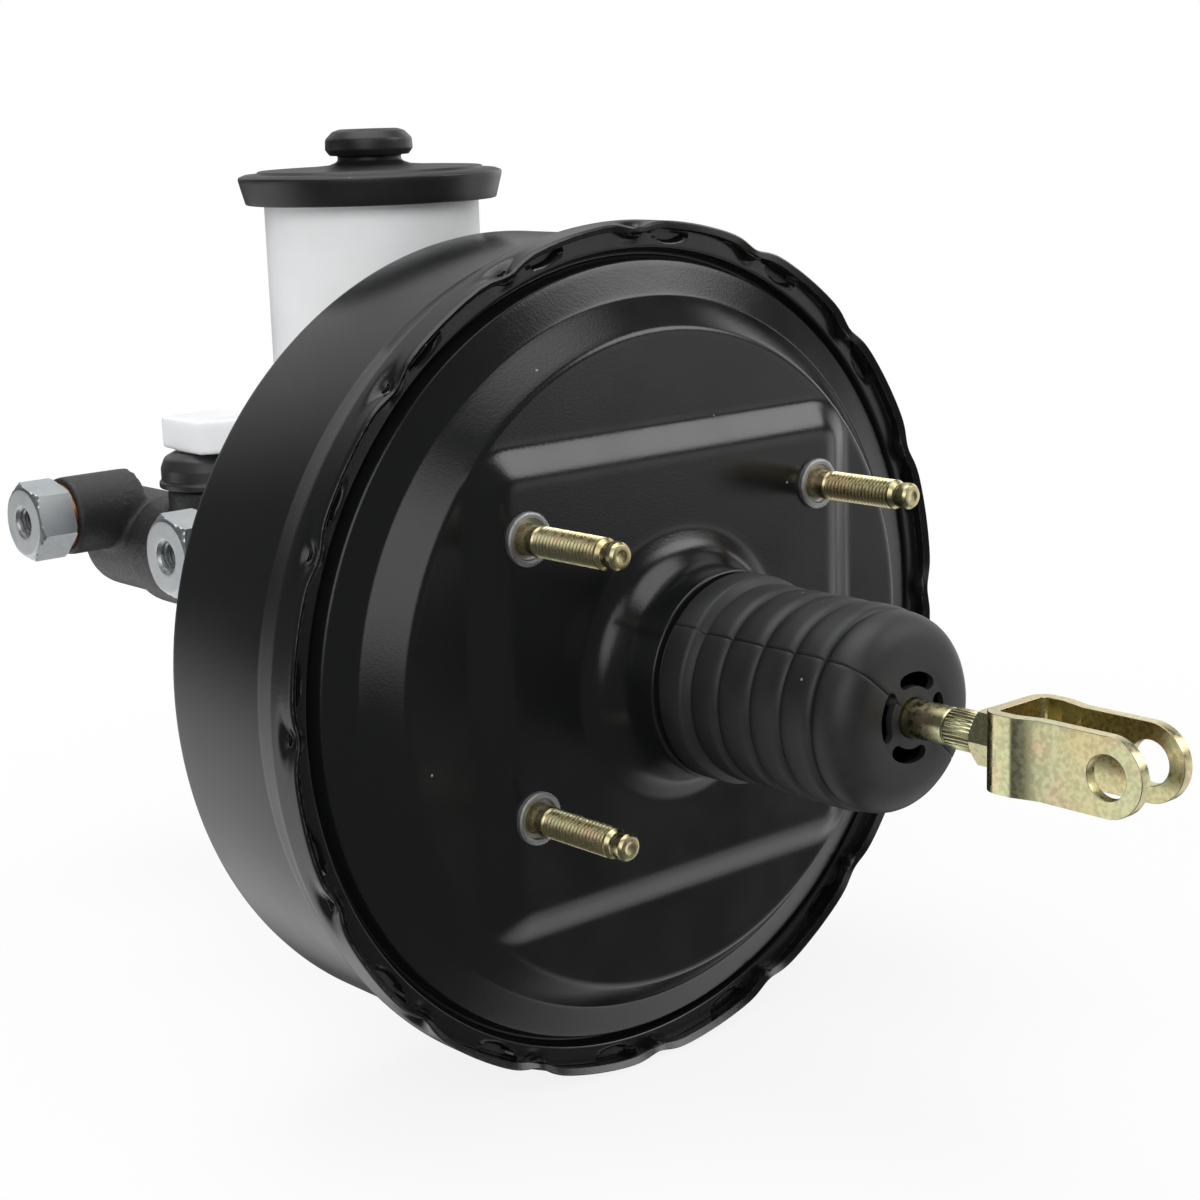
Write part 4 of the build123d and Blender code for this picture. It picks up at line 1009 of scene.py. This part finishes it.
class BOOSTER_OT_fittings(bpy.types.Operator):
    """Hex unions with threaded bores, washers, nuts and the stop bolt"""
    bl_idname = "booster.fittings"
    bl_label = "Fittings"

    def execute(self, context):
        path = fillet([(0.0, 37.35), (4.5, 37.35), (4.5, 48.2, 0.2), (5.6, 49.3, 0.3), (11.25, 49.3, 0.35),
                       (14.0, 47.75), (14.0, 36.6), (13.2, 35.95), (7.0, 35.95)], 0.3, 3)

        def hexagon(row, r, y, a):
            side = (a - math.radians(15.0)) % math.radians(60.0) - math.radians(30.0)
            return (min(r, 12.0 / math.cos(side)) if y > 35.9 else r), y, a

        unions = []
        for y in (274.2, 181.5):
            one = turned_mesh("union", divide(path, 1.2), even_angles(144, math.radians(15.0)), hexagon,
                              centre=(0.0, 0.0, 0.0), upright=True)
            close_poles(one)
            one.transform(Matrix.Translation((0, y * MM, (13.2 + AXIS_Z) * MM))
                          @ Matrix.Rotation(-math.pi / 2, 4, "Y"))
            unions.append(one)
        new_piece("outlet_unions_turned", joined("outlet_unions_turned", unions), "bright_zinc", "housing",
                  ("outlet_unions",), 25.0)
        for node, width, finish in (("outlet_washers", 0.2, "copper"),
                                    ("mc_nuts", 0.4, "bright_zinc"), ("mc_washers", 0.3, "bright_zinc"),
                                    ("mc_studs", 0.5, "bright_zinc"), ("stop_bolt", 0.4, "bright_zinc"),
                                    ("stop_washer", 0.15, "copper"), ("check_valve", 0.3, "bearing_plastic"),
                                    ("valve_grommet", 0.4, "seal_rubber")):
            new_piece(node + "_eased", eased_copy(node, width), finish, "housing", (node,), 0)
        seed = bpy.data.meshes.new("bore_thread_seed")
        threads = run_tree("union_threads", seed, bore_thread_tree(), Thread_radius=0.00452, Pitch=0.00125,
                           Depth=-0.00065, Turns=8.0, Start=0.0, Face_X=-0.0479, First_Y=0.1815, Gap=0.0927,
                           Height=(13.2 + AXIS_Z) * MM, Finish=materials["bright_zinc"])
        new_piece("union_threads", threads, "bright_zinc", "housing", (), 30.0)
        return {"FINISHED"}


class BOOSTER_OT_grommets(bpy.types.Operator):
    """Domed rubber grommets under the reservoir, each with a flared foot"""
    bl_idname = "booster.grommets"
    bl_label = "Grommets"

    def execute(self, context):
        path = fillet([(9.05, 36.4), (12.6, 36.4, 2.5), (16.0, 34.6, 2.5), (17.35, 31.2, 2.0), (17.35, 27.2, 1.0),
                       (18.1, 26.4, 0.4), (18.1, 24.7, 0.3), (12.4, 24.6), (12.4, 16.2), (9.05, 16.1), (9.05, 36.4)],
                      0.5, 4)
        meshes = [turned_mesh("grommet", path, even_angles(72), centre=(0.0, y, AXIS_Z), upright=True)
                  for y in (131.0, 230.5)]
        new_piece("grommets_moulded", joined("grommets_moulded", meshes), "seal_rubber", "housing",
                  ("grommets",), 40.0)
        return {"FINISHED"}


class BOOSTER_OT_reservoir(bpy.types.Operator):
    """Nylon fluid reservoir with eased edges"""
    bl_idname = "booster.reservoir"
    bl_label = "Reservoir"

    def execute(self, context):
        block = bpy.data.meshes.new("arm_end")
        work = bmesh.new()
        bmesh.ops.create_cube(work, size=1.0, matrix=Matrix.Translation((0, 0.2305, 0.03705))
                              @ Matrix.Diagonal((0.0236, 0.0236, 0.0109, 1.0)))
        work.to_mesh(block)
        work.free()
        mesh = with_modifiers("reservoir", joined("reservoir", [merged_copy("reservoir", 0), block]), (
            "REMESH", {"mode": "VOXEL", "voxel_size": 0.0009}), (
            "SMOOTH", {"factor": 0.5, "iterations": 8}))
        new_piece("reservoir_moulded", mesh, "nylon", "housing", ("reservoir",), 60.0)
        return {"FINISHED"}


class BOOSTER_OT_cap(bpy.types.Operator):
    """Reservoir cap: flared rim, shallow dish and a round knob"""
    bl_idname = "booster.cap"
    bl_label = "Cap"

    def execute(self, context):
        outside = fillet([(0.0, 141.0), (6.1, 141.35, 1.0), (8.3, 142.25, 1.6), (10.7, 141.5, 1.4),
                          (12.9, 139.3, 1.6), (13.05, 136.3, 1.0), (11.8, 134.55, 0.7), (9.45, 134.5, 0.5),
                          (9.45, 132.8, 1.2), (12.2, 131.75, 1.0), (20.0, 131.15, 2.0), (29.0, 130.9, 2.0),
                          (33.2, 130.7, 0.8), (34.0, 129.9, 0.6), (37.4, 129.75, 0.8), (39.35, 129.0, 0.7),
                          (39.1, 127.6, 0.8), (37.35, 121.05, 0.6), (36.0, 121.05, 0.4), (32.45, 121.1, 0.4),
                          (32.45, 127.35, 0.6), (0.0, 127.35)], 0.6, 3)
        mesh = turned_mesh("cap", divide(outside, 2.5), even_angles(144), centre=(0.0, 131.0, AXIS_Z),
                           upright=True)
        close_poles(mesh)
        new_piece("reservoir_cap_moulded", mesh, "cap_plastic", "cap", ("reservoir_cap",), 40.0)
        return {"FINISHED"}


# ---- stage -------------------------------------------------------------------------------------
def look_at_matrix(right, up, back, place):
    columns = [Vector(right), Vector(up), Vector(back)]
    turned = Matrix((columns[0], columns[1], columns[2])).transposed().to_4x4()
    return Matrix.Translation(Vector(place)) @ turned


def area_light(name, place, target, size, power, color=(1, 1, 1), size_y=None):
    data = bpy.data.lights.new(name, "AREA")
    data.shape = "RECTANGLE"
    data.size, data.size_y = size, size_y or size
    data.energy = power
    data.color = color
    lamp = bpy.data.objects.new(name, data)
    bpy.context.scene.collection.objects.link(lamp)
    lamp.location = place
    lamp.visible_glossy = False      # gloss sees the softboxes of the world instead
    lamp.rotation_euler = (Vector(target) - Vector(place)).to_track_quat("-Z", "Y").to_euler()
    return lamp


SOFTBOXES = (          # direction that gloss sees light from, strength, cosine where it starts, where it is full
    ((-0.66, -0.64, 0.38), 1.7, 0.84, 1.00),
    ((0.64, -0.55, 0.54), 3.8, 0.93, 0.985),
    ((0.68, -0.73, -0.02), 0.9, 0.975, 1.0),
    ((0.30, 0.75, 0.60), 0.5, 0.72, 0.96),
    ((-0.25, 0.73, -0.63), 0.85, 0.76, 0.97),
    ((-0.77, 0.57, -0.29), 1.0, 0.94, 0.985),
    ((0.64, -0.19, -0.75), 0.8, 0.82, 0.96),
    ((0.0, 0.05, 1.0), 2.2, 0.80, 0.95),
    ((0.89, -0.40, -0.20), 1.2, 0.95, 0.99),
    ((0.95, 0.25, 0.15), 1.3, 0.85, 0.97),
)


def build_studio_glow():
    """How bright the studio looks in each direction: dim walls with a few wide softboxes."""
    tree, g, ins, outs = shader_group("Studio glow", [("Direction", VECTOR, None), ("Walls", FLOAT, 0.10)],
                                      [("Strength", FLOAT)])
    total = ins.outputs["Walls"]
    for direction, strength, low, high in SOFTBOXES:
        dot = g.add("ShaderNodeVectorMath", operation="DOT_PRODUCT")
        g.feed(dot.inputs[0], ins.outputs["Direction"])
        dot.inputs[1].default_value = Vector(direction).normalized()
        total = g.math("ADD", total, g.ramp(dot.outputs["Value"], low, high, 0.0, strength))
    g.feed(outs.inputs["Strength"], total)
    return tree


def seen_plain(g):
    """One for rays that look at a white background, camera and see-through ones."""
    path = g.add("ShaderNodeLightPath")
    return path.outputs["Is Glossy Ray"], g.math("MAXIMUM", path.outputs["Is Camera Ray"],
                                                 path.outputs["Is Transmission Ray"])


def floor_finish(glow_tree, lit_color):
    """Pale floor that fades into the white background, and shows gloss the studio's own light."""
    m = bpy.data.materials.new("floor_white")
    m.use_nodes = True
    g = Graph(m.node_tree)
    shader = m.node_tree.nodes["Principled BSDF"]
    shader.inputs["Base Color"].default_value = lit_color
    shader.inputs["Roughness"].default_value = 0.9
    shader.inputs["Specular IOR Level"].default_value = 0.1
    where = object_coordinates(g)
    ahead = g.add("ShaderNodeVectorMath", operation="SCALE")
    g.feed(ahead.inputs[0], g.add("ShaderNodeNewGeometry").outputs["Incoming"])
    ahead.inputs["Scale"].default_value = -1.0
    length_of = g.add("ShaderNodeVectorMath", operation="LENGTH")
    g.feed(length_of.inputs[0], where)
    white, studio = g.add("ShaderNodeEmission"), g.add("ShaderNodeEmission")
    g.feed(studio.inputs["Strength"], call(g, glow_tree, Direction=ahead.outputs[0], Walls=0.10)["Strength"])
    glossy, plain = seen_plain(g)
    far = g.ramp(length_of.outputs["Value"], 0.2, 0.6, 0.86, 1.0)
    to_camera, to_gloss = g.add("ShaderNodeMixShader"), g.add("ShaderNodeMixShader")
    g.feed(to_camera.inputs[0], g.math("MULTIPLY", plain, far))
    g.feed(to_camera.inputs[1], shader.outputs[0])
    g.feed(to_camera.inputs[2], white.outputs[0])
    g.feed(to_gloss.inputs[0], glossy)
    g.feed(to_gloss.inputs[1], to_camera.outputs[0])
    g.feed(to_gloss.inputs[2], studio.outputs[0])
    g.feed(m.node_tree.nodes["Material Output"].inputs["Surface"], to_gloss.outputs[0])
    return m


def studio_world(glow_tree, level):
    """World that lights evenly, looks white to the camera and shows gloss the softboxes."""
    world = bpy.data.worlds.new("studio")
    world.use_nodes = True
    g = Graph(world.node_tree)
    background = world.node_tree.nodes["Background"]
    background.inputs["Color"].default_value = (1, 1, 1, 1)
    glossy, plain = seen_plain(g)
    glow = call(g, glow_tree, Direction=g.add("ShaderNodeTexCoord").outputs["Generated"])["Strength"]
    lit = g.math("ADD", g.math("MULTIPLY", glossy, g.math("SUBTRACT", glow, level)), level)
    rest = g.math("MULTIPLY", g.math("SUBTRACT", 1.0, plain), lit)
    g.feed(background.inputs["Strength"], g.math("ADD", rest, plain))
    return world


class BOOSTER_OT_stage(bpy.types.Operator):
    """Floor, soft lights, world and camera"""
    bl_idname = "booster.stage"
    bl_label = "Stage"

    def execute(self, context):
        scene = context.scene
        scene.view_settings.view_transform = "Standard"
        low = cad_box[0][2]
        bpy.ops.mesh.primitive_plane_add(size=8.0, location=(0, 0, low - 0.001))
        floor = context.object
        floor.name = "floor"
        glow = build_studio_glow()
        floor.data.materials.append(floor_finish(glow, (0.8, 0.8, 0.8, 1)))
        scene.world = studio_world(glow, 0.66)
        camera = bpy.data.objects.new("camera", bpy.data.cameras.new("camera"))
        scene.collection.objects.link(camera)
        camera.data.sensor_width = 36.0
        camera.data.lens = 68.76
        camera.data.clip_end = 50.0
        camera.matrix_world = look_at_matrix(
            (0.74731, -0.66376, -0.03084), (0.16598, 0.14152, 0.97593),
            (-0.64342, -0.73444, 0.21593), (-0.4102, -0.4352, 0.1448))
        scene.camera = camera
        area_light("key", (-0.72, -0.84, 0.66), (0, 0, 0), 0.6, 7.0, size_y=0.6)
        area_light("top", (-0.15, 0.25, 1.3), (0, 0.05, 0), 0.9, 9.0, size_y=0.7)
        return {"FINISHED"}


CAD_FINISHES = {
    "black_paint": ["front_shell", "rear_shell"],
    "cast_black": ["master_cylinder_body"],
    "yellow_zinc": ["mounting_studs", "lock_nut", "input_rod", "clevis"],
    "bright_zinc": ["outlet_unions", "mc_nuts", "mc_washers", "mc_studs", "stop_bolt"],
    "plain_steel": ["backing_plate", "diaphragm_plate", "output_rod", "valve_plunger", "spring_retainer",
                    "piston_stop"],
    "spring_steel": ["return_spring", "poppet_spring", "rod_spring", "primary_spring", "secondary_spring"],
    "copper": ["outlet_washers", "stop_washer"],
    "boot_rubber": ["dust_boot"],
    "seal_rubber": ["diaphragm", "hub_seal", "poppet_valve", "reaction_disc", "primary_cups",
                    "secondary_cups", "front_seal", "grommets", "valve_grommet", "cap_diaphragm"],
    "phenolic": ["valve_body"],
    "bearing_plastic": ["hub_bearing", "check_valve"],
    "nylon": ["reservoir"],
    "cap_plastic": ["reservoir_cap"],
    "felt": ["air_filter"],
    "piston_alloy": ["primary_piston", "secondary_piston"],
}


class BOOSTER_OT_cad_finishes(bpy.types.Operator):
    """Finish on each CAD node"""
    bl_idname = "booster.cad_finishes"
    bl_label = "CAD finishes"

    def execute(self, context):
        materials.update(make_materials(context.scene.booster_colours))
        for finish, names in CAD_FINISHES.items():
            for name in names:
                dress(name, finish)
        return {"FINISHED"}


# ---- springs -----------------------------------------------------------------------------------
SPRINGS = (            # spring, body at its first end, body at its last end, where the ends lie along the axis
    ("return_spring", "power_piston", "housing", 23.6, 88.5),
    ("secondary_spring", "secondary_piston_body", "housing", 230.1, 288.0),
    ("rod_spring", "power_piston", "plunger", -12.9, -43.0),
)


class BOOSTER_OT_springs(bpy.types.Operator):
    """Coil springs copied from the CAD nodes, with their points merged"""
    bl_idname = "booster.springs"
    bl_label = "Springs"

    def execute(self, context):
        for node, first, last, start, end in SPRINGS:
            spring = new_piece(node + "_wound", merged_copy(node), "spring_steel", None,
                               (node,), 40.0)
            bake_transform(spring)
        spring = new_piece("primary_spring_wound", merged_copy("primary_spring"), "spring_steel",
                           "secondary_piston_body", ("primary_spring",), 40.0)
        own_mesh(spring)
        return {"FINISHED"}


PIECES = (BOOSTER_OT_cad_finishes, BOOSTER_OT_front_shell, BOOSTER_OT_rear_shell, BOOSTER_OT_studs,
          BOOSTER_OT_boot, BOOSTER_OT_pedal_rod, BOOSTER_OT_casting, BOOSTER_OT_fittings, BOOSTER_OT_grommets,
          BOOSTER_OT_reservoir, BOOSTER_OT_cap, BOOSTER_OT_springs, BOOSTER_OT_stage)


class BOOSTER_PT_panel(bpy.types.Panel):
    """Sidebar list of the pieces, with their sizes and colours"""
    bl_idname = "BOOSTER_PT_panel"
    bl_label = "Brake booster"
    bl_space_type = "VIEW_3D"
    bl_region_type = "UI"
    bl_category = "Booster"

    def draw(self, context):
        for group in (context.scene.booster_sizes, context.scene.booster_colours):
            box = self.layout.box()
            for name in group.__annotations__:
                box.prop(group, name)
        for piece in PIECES:
            self.layout.operator(piece.bl_idname)


CLASSES = (BoosterSizes, BoosterColours) + PIECES + (BOOSTER_PT_panel,)


def register():
    for item in CLASSES:
        bpy.utils.register_class(item)
    bpy.types.Scene.booster_sizes = bpy.props.PointerProperty(type=BoosterSizes)
    bpy.types.Scene.booster_colours = bpy.props.PointerProperty(type=BoosterColours)


def unregister():
    del bpy.types.Scene.booster_colours
    del bpy.types.Scene.booster_sizes
    for item in reversed(CLASSES):
        bpy.utils.unregister_class(item)


def main():
    register()
    for piece in PIECES:
        family, name = piece.bl_idname.split(".")
        getattr(getattr(bpy.ops, family), name)()
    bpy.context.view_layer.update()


if __name__ == "__main__":
    main()
